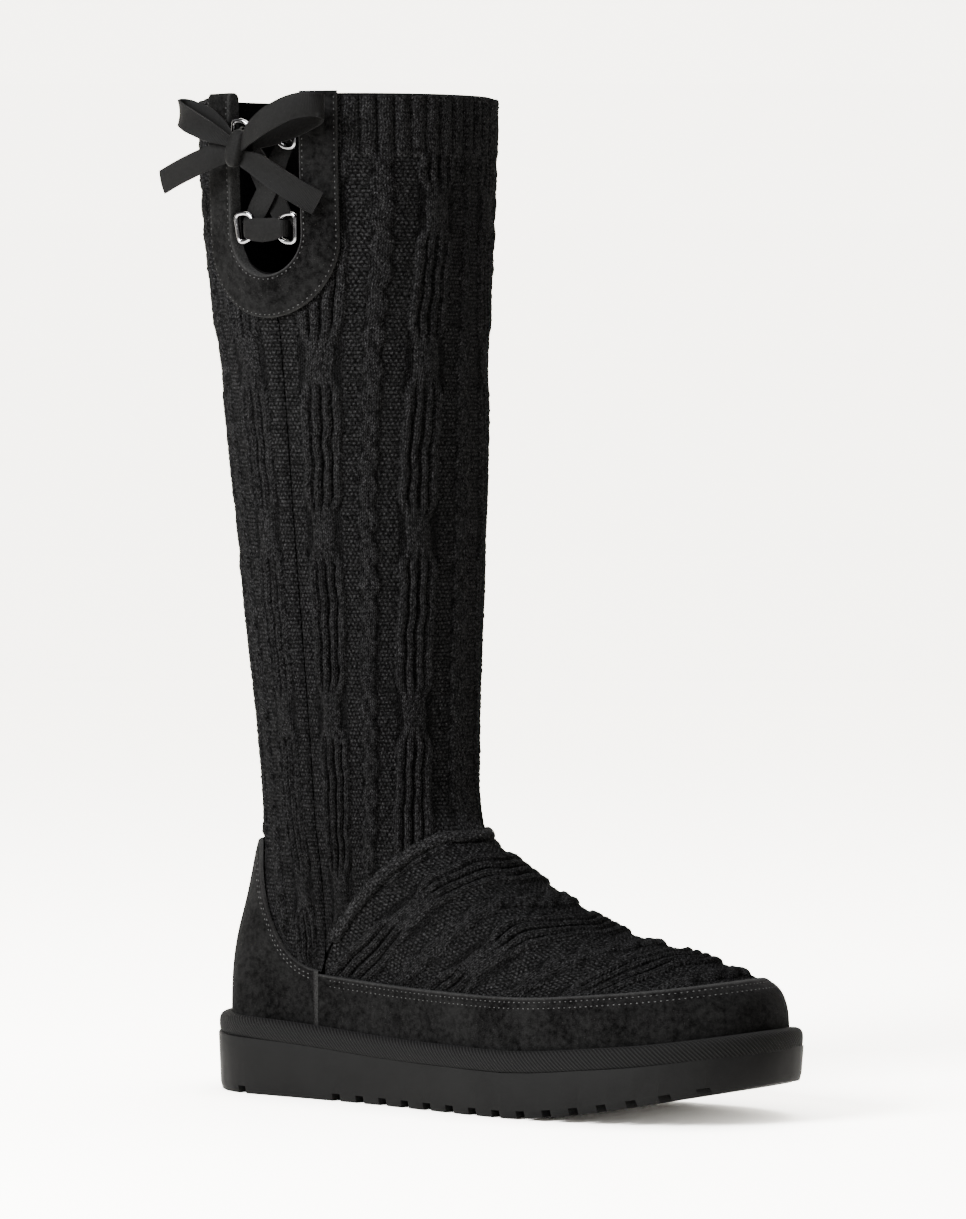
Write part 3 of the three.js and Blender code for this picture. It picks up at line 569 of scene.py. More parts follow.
def through(rows, steps):
    """A smooth path through rows of (ahead, drop, out, width), with its widths."""
    rows = np.asarray(rows, float)
    knots = np.array([at_slot(*row[:3]) for row in rows])
    padded = np.vstack([2 * knots[0] - knots[1], knots, 2 * knots[-1] - knots[-2]])
    at = np.linspace(0, len(rows) - 1, steps)
    i = np.minimum(at.astype(int), len(rows) - 2)
    t = (at - i)[:, None]
    a, b, c, d = padded[i], padded[i + 1], padded[i + 2], padded[i + 3]
    path = 0.5 * (2 * b + (c - a) * t + (2 * a - 5 * b + 4 * c - d) * t**2 + (3 * b - a - 3 * c + d) * t**3)
    wide = rows[i, 3] * (1 - t[:, 0]) + rows[i + 1, 3] * t[:, 0]
    return path, wide


def ribbon(name, rows, steps):
    """A flat ribbon along rows. Returns the object and its centreline in metres."""
    path, wide = through(rows, steps + 1)
    ahead = unit(np.gradient(path, axis=0))
    facing = unit(np.stack([ahead[:, 1], -ahead[:, 0], np.zeros(len(ahead))], 1))
    across = unit(np.cross(ahead, facing))
    proud = np.cross(across, ahead)
    bpy.ops.mesh.primitive_grid_add(x_subdivisions=steps, y_subdivisions=8, size=2)
    obj = bpy.context.object
    grid = read_points(obj) * MM
    k = np.rint((grid[:, 0] + 1) / 2 * steps).astype(int)
    side = grid[:, 1]
    lift = RIBBON_CURL * wide[k] * (1 - side**2)
    points = path[k] + across[k] * (side * wide[k] / 2)[:, None] + proud[k] * lift[:, None]
    write_points(obj, points)
    write_uv(obj, side * RIBBON_WIDE / 20, pace_along(path)[k] / 10)
    modify(obj, "SOLIDIFY", thickness=RIBBON_THICK * MM, offset=0)
    dress(obj, name, "ribbon", ribbon_cloth)
    return obj, path * MM

# %% [markdown]
# ### The bow
# Each half starts at its free end, narrows into the knot, swells into the loop and
# comes back to the knot. The knot is a turn of the same ribbon drawn tight, so it is
# made as a rounded block with two creases, leaning as in the photograph.

# %% Bow
bow_end_front = [
    (28.6, 46.2, 0.2, 10), (20.5, 41.3, 4, 10), (12, 36, 6.6, 10), (3.2, 30.6, 7.6, 9.6),
    (-4.3, 27.6, 7, 7),
]
bow_loop_back = [
    (-10.7, 20.6, 8.6, 4), (-19.5, 16.2, 12, 8.5), (-28.5, 12, 12.2, 10), (-35, 9, 10, 10),
    (-37.4, 7.6, 6.6, 10), (-34.6, 8, 3.6, 10), (-26, 11.2, 3, 10), (-18.5, 15.2, 3.6, 8),
    (-11.4, 20, 5.2, 4),
]
bow_end_back = [
    (-48.8, 36.4, 4.2, 10), (-40, 33.2, 6, 10), (-31, 30.2, 7.4, 10), (-21, 27, 8, 9.6),
    (-12.9, 25, 6.8, 8),
]
bow_loop_front = [
    (-2.4, 21.4, 9.4, 5), (3.5, 17.6, 12.4, 8.5), (13.5, 12.2, 14.2, 10), (24.5, 7.8, 13.8, 10),
    (32.5, 6.4, 11, 10), (35.6, 7.2, 7.2, 10), (32, 9.6, 4.4, 10), (21, 13.8, 3.8, 10),
    (8.5, 18.4, 4.2, 8), (-1.6, 21.6, 5, 5),
]
knot_middle = (-7.6, 23.6, 7.4, 4.5)

bpy.ops.mesh.primitive_uv_sphere_add(segments=40, ring_count=28, radius=1)
knot = bpy.context.object
points = read_points(knot) * MM
KNOT_PLACE = (-7.6, 23.4, 7.5)
KNOT_HALF, KNOT_POWER, KNOT_LEAN = (4.1, 3.7, 7.9), 2.6, math.radians(18)
size = (np.abs(points) ** KNOT_POWER).sum(1) ** (1 / KNOT_POWER)
points = points / size[:, None] * np.array(KNOT_HALF)
crease = np.exp(-((points[:, 0] - 0.9) / 0.55) ** 2) + 0.7 * np.exp(-((points[:, 0] + 1.9) / 0.5) ** 2)
points[:, 1] += np.where(points[:, 1] < 0, 0.55 * crease, 0) * (1 - np.abs(points[:, 2]) / 11)
points = np.stack([
    points[:, 0] * math.cos(KNOT_LEAN) + points[:, 2] * math.sin(KNOT_LEAN), points[:, 1],
    points[:, 2] * math.cos(KNOT_LEAN) - points[:, 0] * math.sin(KNOT_LEAN),
], 1)
write_points(knot, points + at_slot(*KNOT_PLACE))
write_uv(knot, points[:, 0] / 10, points[:, 2] / 10)
dress(knot, "bow_knot_cloth", "ribbon", ribbon_cloth, "bow_knot")

ROUTE_POINTS = 37
front_rows = bow_end_front + [knot_middle] + bow_loop_back
back_rows = bow_end_back + [knot_middle] + bow_loop_front
front_half, front_path = ribbon("bow_front_end_back_loop", front_rows, 110)
back_half, back_path = ribbon("bow_back_end_front_loop", back_rows, 120)
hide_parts("bow_end_front", "bow_loop_back")
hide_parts("bow_end_back", "bow_loop_front")
for half, path, pieces in ((front_half, front_path, [knot]), (back_half, back_path, [])):
    route = path[np.linspace(0, len(path) - 1, ROUTE_POINTS).astype(int)]
    long = float(pace_along(route)[-1])
    tuple(route[-1])
    [tuple(p) for p in route]
    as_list(pieces)
    print(half.name, "length, mm:", round(long / MM, 1))

# %% [markdown]
# ## The side-view lines of the boot
# Foxing, counter and instep seam are cut along lines of the side view. The knit is
# pressed flat beneath them, so each line is kept as a table of places along the boot.

# %% Side-view lines
SEAM_START = (COUNTER_SEAM + 0.6, float(np.interp(COUNTER_SEAM, SOLE_X, SOLE_Z)) + FOXING_RISE + 2.2)
SEAM_END = (-16.5, 109.0)
quarter = np.linspace(0, math.pi / 2, 60)
seam_x = SEAM_END[0] - (SEAM_END[0] - SEAM_START[0]) * np.clip(np.cos(quarter), 0, 1) ** 1.6
seam_z = SEAM_START[1] + (SEAM_END[1] - SEAM_START[1]) * np.sin(quarter) ** 1.6
counter_x = COUNTER_SEAM - (COUNTER_SEAM - COUNTER_STRAP) * np.sin(quarter)
counter_shoulder = SEAM_START[1] - 0.2
counter_z = COUNTER_TOP - (COUNTER_TOP - counter_shoulder) * np.cos(quarter)
print("instep seam from, mm:", np.round(SEAM_START, 1), "to:", SEAM_END)


def foxing_top(x):
    return np.interp(x, SOLE_X, SOLE_Z) + FOXING_RISE


def seam_height(x):
    return np.interp(x, seam_x, seam_z, left=0.0)


def line_distance(x, z, line_x, line_z):
    """Distance in the side view from places to a line."""
    best = np.full(len(x), 1e9)
    for k in range(len(line_x) - 1):
        ax, az, bx, bz = line_x[k], line_z[k], line_x[k + 1], line_z[k + 1]
        long = (bx - ax) ** 2 + (bz - az) ** 2 + 1e-12
        share = np.clip(((x - ax) * (bx - ax) + (z - az) * (bz - az)) / long, 0, 1)
        best = np.minimum(best, np.hypot(x - ax - share * (bx - ax), z - az - share * (bz - az)))
    return best


def u_shape(x, z, half, drop):
    """Signed distance from the U of the slot or patch: negative inside it."""
    dx = np.abs(x - SLOT_MIDDLE)
    below = np.maximum(COLLAR - drop - z, 0)
    return np.hypot(dx, below) - half

# %% [markdown]
# ## The knit
# The real upper is knitted in panels with cables, one around each half of the leg and
# one over the foot with its cables across. Each panel starts as a grid laid on the CAD
# upper by rays from inside it. Smoothing takes the facets out, subdivision makes it
# fine, and the cables are raised on it along its normals.


# %% Panels on the upper
OFF_EDGES = Vector((0.003, 0.007, 0.002))    # keeps a ray from running into a mesh edge


def upper_hit(start, direction):
    """Where a ray from inside the upper leaves it: its outer surface."""
    start = Vector(start) + OFF_EDGES
    direction = Vector(direction).normalized()
    found = None
    for _ in range(6):
        hit, normal, _, _ = upper_tree.ray_cast(start, direction)
        if hit is None:
            break
        if normal.dot(direction) > 0:
            found = hit.copy()
            break
        start = hit + direction * 0.01
    return found


def sheet(name, columns, rows, ray, rounds):
    """A grid whose places are found by ray(a, b), with a and b its shares across and up."""
    bpy.ops.mesh.primitive_grid_add(x_subdivisions=columns, y_subdivisions=rows, size=1)
    obj = bpy.context.object
    obj.name = name
    shares = read_points(obj) * MM + 0.5
    write_points(obj, np.array([ray(a, b) for a, b in shares[:, :2]]))
    modify(obj, "SMOOTH", iterations=rounds, factor=0.5)
    return obj, shares


def leg_point(theta, z):
    """The leg's surface at a turn from the front (in radians) and a height."""
    middle, deep, wide = (float(v) for v in leg_oval(max(z, ANKLE)))
    direction = (deep * math.cos(theta), wide * math.sin(theta), 0)
    hit = upper_hit((middle, 0, z), direction)
    if hit is None or hit[0] > 20:    # the slot or the foot is there, so the oval itself is taken
        power = 2.1
        reach = (abs(math.cos(theta)) ** power + abs(math.sin(theta)) ** power) ** (-1 / power)
        return np.array([middle + deep * math.cos(theta) * reach, wide * math.sin(theta) * reach, z])
    return np.array(hit)


def seam_crossing(theta, z, below, least, rounds):
    """Place along the boot and height at which a turn of the leg meets the instep seam."""
    for _ in range(rounds):
        x = leg_point(theta, z)[0]
        z = 0.5 * z + 0.5 * max(float(seam_height(x)) - below, least)
    return x, z


LEG_GRID = (66, 90)
LEG_LAP = 1.012    # each panel goes a millimetre past the leg's side


def leg_panel(name, middle_turn):
    """Half of the leg's knit, from the seam or from under the counter to the collar."""
    lows = {}

    def ray(a, b):
        theta = middle_turn + (a - 0.5) * math.pi * LEG_LAP
        key = round(theta, 5)
        if key not in lows:
            lows[key] = seam_crossing(theta, 60.0, 1.0, 46.0, 14)[1]
        low = lows[key]
        return leg_point(theta, low + (COLLAR - 0.4 - low) * b)

    return sheet(name, *LEG_GRID, ray, rounds=8)[0]

# %% [markdown]
# ### The cables
# Charted from the photograph. A wide cable of four ribs pinches together and
# opens again, a narrow one is a two-strand rope, and purl ground lies between them.
# Heights are in millimetres about the CAD surface, so the boot keeps its outline.


# %% Cable heights
def dome(value):
    return np.sqrt(np.clip(1 - value**2, 0, 1))


def rope(side, along, pitch=25.0):
    """Two strands that cross every half pitch. side runs from -1 to 1 across it."""
    height = np.full(side.shape, -1.0)
    for k in (0, 1):
        phase = 2 * math.pi * along / pitch + math.pi * k
        middle = 0.46 * np.cos(phase)
        front = np.sin(phase)
        strand = -0.9 + 1.5 * dome((side - middle) / 0.56) + 0.45 * front - 0.15
        strand = np.where(np.abs(side - middle) < 0.56, strand, -1.0)
        height = np.maximum(height, strand)
    return height


def cage(side, along, necks, half_neck=8.0):
    """Four ribs that pinch into one smooth bundle at each neck."""
    nearest = np.min(np.abs(along[:, None] - np.asarray(necks)[None, :]), axis=1)
    opened = smoothstep(half_neck * 0.35, half_neck * 1.9, nearest)
    spread = 0.58 + 0.42 * opened
    height = np.full(side.shape, -1.5)
    for middle, half in ((-0.76, 0.24), (-0.26, 0.21), (0.26, 0.21), (0.76, 0.24)):
        across = (side - middle * spread) / (half * (0.72 + 0.28 * opened))
        rib = np.where(np.abs(across) < 1, -1.5 + 2.25 * dome(across), -1.5)
        height = np.maximum(height, rib)
    bundle = -1.1 + 1.75 * dome(np.clip(side / 0.62, -1, 1)) ** 0.8
    bundle = np.where(np.abs(side) < 0.62, bundle, -1.1)
    return height * opened + bundle * (1 - opened)


def charted(columns, across, along, necks, mirror=1):
    """Height and purl of the columns, rows of (kind, middle, width), on purl ground."""
    height = np.full(across.shape, -0.95)
    purl = np.ones(across.shape)
    for kind, middle, wide in columns:
        side = mirror * (across - middle) / (wide / 2)
        inside = np.abs(side) < 1
        part = rope(side, along) if kind == "rope" else cage(side, along, necks)
        height = np.where(inside, part, height)
        purl = np.where(inside, 0.0, purl)
    return height, purl

# %% [markdown]
# ### The leg's chart
# The chart is the same on each quarter of the leg, which is how the knit is made: a rope
# down the front, a cage, a rope, a cage, and the seam. Middles and widths are shares of
# the way from the front to the side. The cuff at the top is plain ribbing.

# %% Leg chart
LEG_COLUMNS = [("rope", 0.0, 0.104), ("cage", 0.2665, 0.227), ("rope", 0.54, 0.108), ("cage", 0.793, 0.222)]
LEG_NECKS = (85.0, 159.0, 233.0, 303.0, 365.0)
# the columns crowd toward the leg's side, by a power that grows along two straight lines
CROWD_HEIGHTS, CROWD_POWERS = (124.0, 271.0, 348.0), (0.77, 0.92, 1.17)
CUFF_LOW, CUFF_RIBS = 385.0, 26.5


def leg_relief(theta, z):
    """Height and purl over the leg's knit, and the share of the way to the side."""
    slopes = np.diff(CROWD_POWERS) / np.diff(CROWD_HEIGHTS)
    tall = np.maximum(z, 90)
    lines = [CROWD_POWERS[k] + (tall - CROWD_HEIGHTS[k]) * slopes[k] for k in (0, 1)]
    power = np.minimum(np.where(z < CROWD_HEIGHTS[1], *lines), 1.25)
    degrees = np.abs(np.degrees(theta))
    degrees = np.where(degrees > 90, 180 - degrees, degrees)
    t = np.clip(degrees / 90, 0, 1) ** (1 / power)
    uneven = 0.006 * np.sin(z / 11.0 + 3 * t)
    uneven = uneven + 0.0035 * np.sin(z / 2.3 + 9 * t) + 0.003 * np.sin(z / 4.1 - 14 * t)
    t = t + uneven * smoothstep(0.05, 0.2, t) * (1 - smoothstep(0.85, 1, t))
    height, purl = charted(LEG_COLUMNS, t, z, LEG_NECKS, mirror=-1)
    height = height - 0.9 * np.exp(-(((1 - t) / 0.02) ** 2))
    ribs = -1.35 + 2.0 * np.abs(np.cos(theta * CUFF_RIBS)) ** 0.55
    cuff = smoothstep(CUFF_LOW, CUFF_LOW + 4, z)
    return height * (1 - cuff) + ribs * cuff, purl * (1 - cuff), t

# %% [markdown]
# ### The foot's chart
# The same knit is turned across the foot, and the last pulls its columns back at the
# sides, so each column bends toward the heel. Middles and widths are in millimetres
# along the boot over its ridge.

# %% Foot chart
VAMP_COLUMNS = [
    ("cage", 8, 17.5), ("rope", 28, 9.5), ("cage", 47, 17.5), ("rope", 69, 9.5), ("cage", 90, 17.5),
    ("rope", 109, 9.5), ("cage", 128, 17.5), ("rope", -13, 9.5), ("cage", -33, 17.5),
]
VAMP_NECKS = (-56.0, 48.0)


def vamp_relief(x, girth):
    """Height and purl over the foot, and how far along the curved columns each place is."""
    around = np.abs(girth)
    w = x + np.where(around < 35, 0.0115 * around**2, 14.1 + 0.8 * (around - 35))
    w = w + 0.9 * np.sin(girth / 7.0) * np.sin(w / 23.0) + 0.5 * np.sin(girth / 3.7 + w / 9)
    return *charted(VAMP_COLUMNS, w, girth, VAMP_NECKS), w


print("columns on a quarter of the leg:", len(LEG_COLUMNS), "over the foot:", len(VAMP_COLUMNS))

# %% [markdown]
# ### Raising the cables
# A charted height moves each vertex along the panel's normal, with a little unevenness
# of the yarn from a fixed seed. The purl and hollow attributes tell the knit material
# which stitch is where and how deep it lies, and the depth darkens the colour as painted shade.

# %% Raising the cables
yarn = np.random.default_rng(11)


def raise_relief(obj, height, purl, pressed):
    """Moves a panel's vertices along its normals, flat where another piece presses it."""
    write_attribute(obj, "purl", purl)
    # how deep each place lies, which the knit material turns into painted shade
    write_attribute(obj, "hollow_shade", np.clip((-height - 0.2) / 0.9, 0, 1))
    uneven = yarn.normal(0, 0.17, len(height))
    total = height * pressed - 0.75 * (1 - pressed) + uneven * pressed
    write_points(obj, read_points(obj) + read_normals(obj) * total[:, None])


def turn_in(obj):
    """Rolls a panel's top rows in over the collar, as a folded edge."""
    points = read_points(obj)
    top = np.clip((points[:, 2] - COLLAR + 3.4) / 3.1, 0, 1)
    inward = 2.8 * (1 - np.sqrt(1 - top**2))
    points[:, :2] -= read_normals(obj)[:, :2] * inward[:, None]
    points[:, 2] += 0.35 * top
    write_points(obj, points)

# %% [markdown]
# ### The knit of the leg
# The two panels lap at the leg's sides, where the real knit has its seam. The knit goes
# flat under the suede and the seam, it is cut away around the slot, and its top rows
# roll in over the collar, as a knitted edge does.


# %% Leg panels
def overlay_press(points):
    """0 under foxing, counter, seam and patch, growing to 1 a few millimetres away."""
    x, y, z = points.T
    outside = line_distance(x, z, seam_x, seam_z) - 1.6
    counter_gap = line_distance(x, z, counter_x, counter_z)
    in_counter = (x < COUNTER_SEAM) & (z < np.interp(-x, -counter_x, counter_z, right=COUNTER_TOP))
    outside = np.minimum(outside, np.where(in_counter, -1, counter_gap - 0.3))
    outside = np.minimum(outside, np.where(x < COUNTER_STRAP, z - COUNTER_TOP, 1e9))
    outside = np.minimum(outside, z - foxing_top(x))
    patch = u_shape(x, z, PATCH_HALF, PATCH_DROP)
    outside = np.where(y < 0, np.minimum(outside, patch), outside)
    return smoothstep(0.0, 3.2, outside)


panels = []
for name, middle_turn in (("knit_leg_front", 0.0), ("knit_leg_back", math.pi)):
    panel_obj = leg_panel(name, middle_turn)
    modify(panel_obj, "SUBSURF", levels=2, subdivision_type="CATMULL_CLARK")
    points = read_points(panel_obj)
    middle, deep, wide = leg_oval(points[:, 2])
    theta = np.arctan2(points[:, 1] / wide, (points[:, 0] - middle) / deep)
    height, purl, t = leg_relief(theta, points[:, 2])
    press = overlay_press(points)
    write_uv(panel_obj, t * 8.1, points[:, 2] / 10)
    raise_relief(panel_obj, height, purl, press)
    turn_in(panel_obj)
    slot_gap = u_shape(points[:, 0], points[:, 2], SLOT_HALF, SLOT_DROP)
    delete_vertices(panel_obj, (slot_gap < 3.0) & (points[:, 1] < 0))
    dress(panel_obj, name, "knit", knit)
    panels.append(panel_obj)
    print(name, "vertices:", len(panel_obj.data.vertices), "top, mm:", round(float(points[:, 2].max()), 1))

# %% [markdown]
# ### The knit over the foot
# Its grid fans out from a line inside the foot, so it lies square to the surface at
# the sides and over the toe. Its lower edges go in under the foxing.


# %% Vamp panel
def vamp_point(x, tilt, around):
    z = float(foxing_top(x)) - 8.0
    direction = (math.sin(tilt), math.cos(tilt) * math.sin(around), math.cos(tilt) * math.cos(around))
    hit = upper_hit((x, 2.0, z), direction)
    return None if hit is None else np.array(hit)


vamp_starts = {}


def vamp_start(around):
    """How far back the foot's knit goes at a turn around it: to the instep seam."""
    key = round(around, 5)
    if key not in vamp_starts:
        x = -68.0
        while x < 0:
            hit = vamp_point(x, 0.0, around)
            if hit is not None and hit[2] <= float(seam_height(x)) + 0.8:
                break
            x += 0.5
        vamp_starts[key] = x
    return vamp_starts[key]


def vamp_ray(a, b):
    around = (b - 0.5) * math.pi
    tilt = math.radians(77) * float(smoothstep(0.4, 1.05, a)) ** 1.2
    start = vamp_start(around)
    x = start + (90 - start) * min(a / 0.8, 1.0)
    hit = vamp_point(x, tilt, around)
    return hit if hit is not None else np.array([x, 0, 60.0])


columns, rows = 84, 68
vamp, shares = sheet("knit_vamp", columns, rows, vamp_ray, rounds=4)
points = read_points(vamp)
order = np.lexsort((shares[:, 1], np.rint(shares[:, 0] * columns)))
lines = points[order].reshape(columns + 1, rows + 1, 3)
run = np.array([pace_along(line) for line in lines])
run -= run[:, rows // 2, None]
girth = np.empty(len(points))
girth[order] = run.ravel()
write_uv(vamp, girth / 10, points[:, 0] / 10)
modify(vamp, "SUBSURF", levels=2, subdivision_type="CATMULL_CLARK", uv_smooth="NONE")
girth, _ = (v * 10 for v in sheet_places(vamp))
points = read_points(vamp)
height, purl, w = vamp_relief(points[:, 0], girth)
press = overlay_press(points)
write_uv(vamp, w / 10, girth / 10)
raise_relief(vamp, height, purl, press)
delete_vertices(vamp, points[:, 2] < foxing_top(points[:, 0]) - 7)
dress(vamp, "knit_vamp", "knit", knit)
panels.append(vamp)
print("knit_vamp vertices:", len(vamp.data.vertices), "girth, mm:", round(float(np.ptp(girth)), 1))

# %% [markdown]
# ### The lining
# The real upper has a fleece lining inside the knit. A copy of the CAD upper, with its
# outer side drawn in under the knit, is that lining and keeps the wall's thickness.

# %% Lining
LINING_IN = 2.5
inner = copy_of("upper")
points = read_points(inner)
normals = read_normals(inner)
in_leg = points[:, 2] > 112
centre = np.stack([
    np.where(in_leg, -72, np.clip(points[:, 0], -95, 85)), np.where(in_leg, 0, 2),
    np.where(in_leg, points[:, 2], np.minimum(points[:, 2], 42)),
], 1)
outer = ((points - centre) * normals).sum(axis=1) > 0
drawn = points - normals * np.where(outer, LINING_IN, 0.0)[:, None]
drawn[:, 2] = np.minimum(drawn[:, 2], COLLAR - 1.2)
write_points(inner, drawn)
dress(inner, "lining", "lining", lining, "upper")
for piece in panels:
    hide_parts("upper")
print("lining: vertices drawn in", int(outer.sum()), "of", len(points))

# %% [markdown]
# ## Suede
# Foxing, heel counter and collar patch are cut from suede and sewn on over the knit.
# Each is laid as a grid on the CAD upper, smoothed, and set out from it by its
# thickness, with edges that turn in to the knit. The foxing's top edge is rolled.


# %% Overlay helper
def laid(name, places, uv=None, closed=False, raw=None):
    """A grid with its vertices at places, an array of columns and rows, subdivided once."""
    columns, rows = places.shape[0] - 1, places.shape[1] - 1
    bpy.ops.mesh.primitive_grid_add(x_subdivisions=columns, y_subdivisions=rows, size=1)
    obj = bpy.context.object
    shares = read_points(obj) * MM + 0.5
    i = np.rint(shares[:, 0] * columns).astype(int)
    j = np.rint(shares[:, 1] * rows).astype(int)
    write_points(obj, places[i, j])
    if raw is not None:
        write_attribute(obj, "edge", raw[i, j])
    if uv is not None:
        write_uv(obj, uv[0][i, j], uv[1][i, j])
    if closed:
        edit(obj, bpy.ops.mesh.remove_doubles, threshold=2e-5)
    modify(obj, "SUBSURF", levels=1, uv_smooth="NONE")
    obj.name = name
    return obj


def soften(base, rounds, axis, closed=False):
    """Averages places with their neighbours along one axis, with open ends held."""
    out = base.copy()
    for _ in range(rounds):
        before, after = np.roll(out, 1, axis), np.roll(out, -1, axis)
        mean = 0.25 * before + 0.5 * out + 0.25 * after
        if not closed:
            keep = [slice(None)] * out.ndim
            for end in (0, -1):
                keep[axis] = end
                mean[tuple(keep)] = out[tuple(keep)]
        out = mean
    return out


def outward_of(base):
    """Level directions out of a laid base, square to the run of its columns."""
    normal = unit(np.cross(np.gradient(base, axis=0), np.array([0.0, 0, 1])))
    centre = np.array([base[..., 0].mean(), 0, base[..., 2].mean()])
    facing = ((base - centre) * normal).sum(axis=2).mean()
    return normal if facing > 0 else -normal


def turn_where(low, high, is_before):
    """The turn between two at which is_before stops being true, found by halving."""
    for _ in range(18):
        mid = (low + high) / 2
        if is_before(mid):
            low = mid
        else:
            high = mid
    return (low + high) / 2


# the rays for the foot start from a line inside it, this far to each side of its middle
SPINE_MIDDLE, SPINE_HALF = -5.42, 89.43


def foot_spot(phi, rise):
    """The upper's side at a turn around the foot and a rise above the sole."""
    ahead, aside = math.cos(phi), math.sin(phi)
    x = SPINE_MIDDLE + (SPINE_HALF + 43 - 0.8 * rise) * ahead
    search = 5 if rise < 10 else -5
    found = None
    for _ in range(6):
        z = float(np.interp(x, SOLE_X, SOLE_Z)) + rise
        hit = upper_hit((SPINE_MIDDLE + SPINE_HALF * ahead, 0, z), (ahead, aside, 0))
        if hit is None:
            x += search * ahead
        else:
            found = np.array(hit)
            x = hit[0]
    return found


def foot_turn(x, rise, side):
    """The turn around the foot whose spot lies at x, for one side."""
    return side * turn_where(0.3, math.pi - 0.05, lambda turn: foot_spot(side * turn, rise)[0] > x)

# %% [markdown]
# ### The foxing
# A suede band runs around the forefoot from one side seam to the other. It is charted in
# rows of rise above the sole and thickness, so the two grooves that the stitches pull
# in, the rolled top and the edge that turns in to the knit are all in one short list.

# %% Foxing
FOXING_ROWS = [
    (1.4, 1.9), (4, 1.9), (8.6, 1.95), (13, 2.0), (17, 2.0), (21, 2.0), (23.6, 2.0), (24.5, 1.95),
    (25.2, 1.78), (25.9, 1.95), (26.6, 2.05), (27.1, 1.95), (27.6, 1.8), (28.1, 1.98), (28.7, 2.2),
    (29.2, 2.25), (29.6, 1.9), (29.7, 1.2), (29.5, 0.1),
]
rises = np.array([row[0] for row in FOXING_ROWS])
END_RISES = (1.4, 10, 20, 29)
ends = [[foot_turn(COUNTER_SEAM + 0.1, rise, side) for rise in END_RISES] for side in (-1, 1)]
columns = 180
share = np.linspace(0, 1, columns + 1)
base = np.zeros((columns + 1, len(rises), 3))
for j, rise in enumerate(rises):
    start, end = (np.interp(rise, END_RISES, turns) for turns in ends)
    for i in range(columns + 1):
        base[i, j] = foot_spot(start + (end - start) * share[i], rise)
base = soften(soften(base, 24, 0), 2, 1)
foxing_outward = outward_of(base)
run = np.arange(columns + 1)
edge = np.clip(np.minimum(run, columns - run) * 1.625, 0, 1)[:, None]
offsets = np.array([row[1] for row in FOXING_ROWS])[None, :] * (0.62 + 0.38 * edge**0.5)
wave = 0.1 * np.sin(run / 7.0)[:, None] * np.sin(rises / 6.0)[None, :] + 0.06 * np.sin(run / 2.9 + 1)[:, None]
raw = smoothstep(28.4, 29.3, rises)[None, :] * np.ones((columns + 1, 1))
wave = wave * (rises < 25)[None, :]
foxing_places = base + foxing_outward * (offsets + wave)[..., None]
foxing = laid("suede_foxing", foxing_places, raw=raw)
dress(foxing, "suede_foxing", "suede", suede, "foxing")
print("foxing: columns", columns, "toe, mm:", round(float(foxing_places[..., 0].max()), 1))

# %% [markdown]
# ### The heel counter
# The counter wraps the heel and narrows to a strap up its back. Its columns run up from
# the sole to the curved edge of the side view, so the edge is as smooth as that line,
# and its last rows turn in to the knit.


# %% Heel counter
def heel_spot(psi, z):
    """The upper behind the counter's seam, at a turn from straight back and a height."""
    hit = upper_hit((COUNTER_SEAM - 0.1, 0, z), (-math.cos(psi), math.sin(psi), 0))
    return np.array(hit)


def heel_turn(x, z, side):
    """The turn from straight back whose spot lies at x, at a height and for one side."""
    x = min(x, COUNTER_SEAM - 0.12)
    return side * turn_where(0.0, math.pi / 2, lambda turn: heel_spot(side * turn, z)[0] < x)


side_steps, strap_steps = 54, 34
pace = pace_along(np.stack([counter_x, counter_z], 1))
steps = np.linspace(0, pace[-1], side_steps)
edge_x, edge_z = (np.interp(steps, pace, line) for line in (counter_x, counter_z))
outer, inner = ([heel_turn(x, z, side) for x, z in zip(edge_x, edge_z)] for side in (-1, 1))
strap = np.linspace(outer[-1], inner[-1], strap_steps + 2)[1:-1]
top_turn = np.concatenate([outer, strap, inner[::-1]])
top_z = np.concatenate([edge_z, np.full(strap_steps, COUNTER_TOP), edge_z[::-1]])
columns = len(top_turn) - 1
low_turn = np.linspace(-math.pi / 2, math.pi / 2, columns + 1)
ups = np.concatenate([np.linspace(0, 0.9, 30), [0.93, 0.955, 0.972, 0.984, 0.992, 0.998, 1.0, 1.0]])
base = np.zeros((columns + 1, len(ups), 3))
for i in range(columns + 1):
    z_low = float(np.interp(heel_spot(low_turn[i], 40)[0], SOLE_X, SOLE_Z)) + 1.4
    for j, share in enumerate(ups):
        turn_here = low_turn[i] + (top_turn[i] - low_turn[i]) * share
        base[i, j] = heel_spot(turn_here, z_low + (top_z[i] - z_low) * share)
base = soften(soften(base, 8, 0), 4, 1)
counter_outward = outward_of(base)
run = np.arange(columns + 1)
edge = np.clip(np.minimum(run, columns - run) / 2.0, 0, 1)[:, None] ** 0.5
profile = np.array([1.9] * 32 + [1.9, 1.88, 1.82, 1.6, 1.1, 0.1])
wave = 0.12 * np.sin(run / 6.0)[:, None] * np.sin(ups * 9.0)[None, :]
offsets = profile[None, :] * (0.62 + 0.38 * edge) + wave * (ups < 0.9)[None, :]
raw = np.maximum(smoothstep(0.982, 0.997, ups)[None, :], (np.minimum(run, columns - run) < 1.5)[:, None])
counter_places = base + counter_outward * offsets[..., None]
counter = laid("suede_counter", counter_places, raw=raw)
edit(counter, bpy.ops.mesh.flip_normals)
dress(counter, "suede_counter", "suede", suede, "heel_counter")
print("counter: top, mm:", round(float(counter_places[..., 2].max()), 1))

# %% [markdown]
# ### The collar patch
# The patch is a U around the slot. Its inner edge turns in through the slot to the
# lining, as the real one is bound there, and its top edge ends at the collar. Its rows
# give the share of the way out across the U, and the thickness.


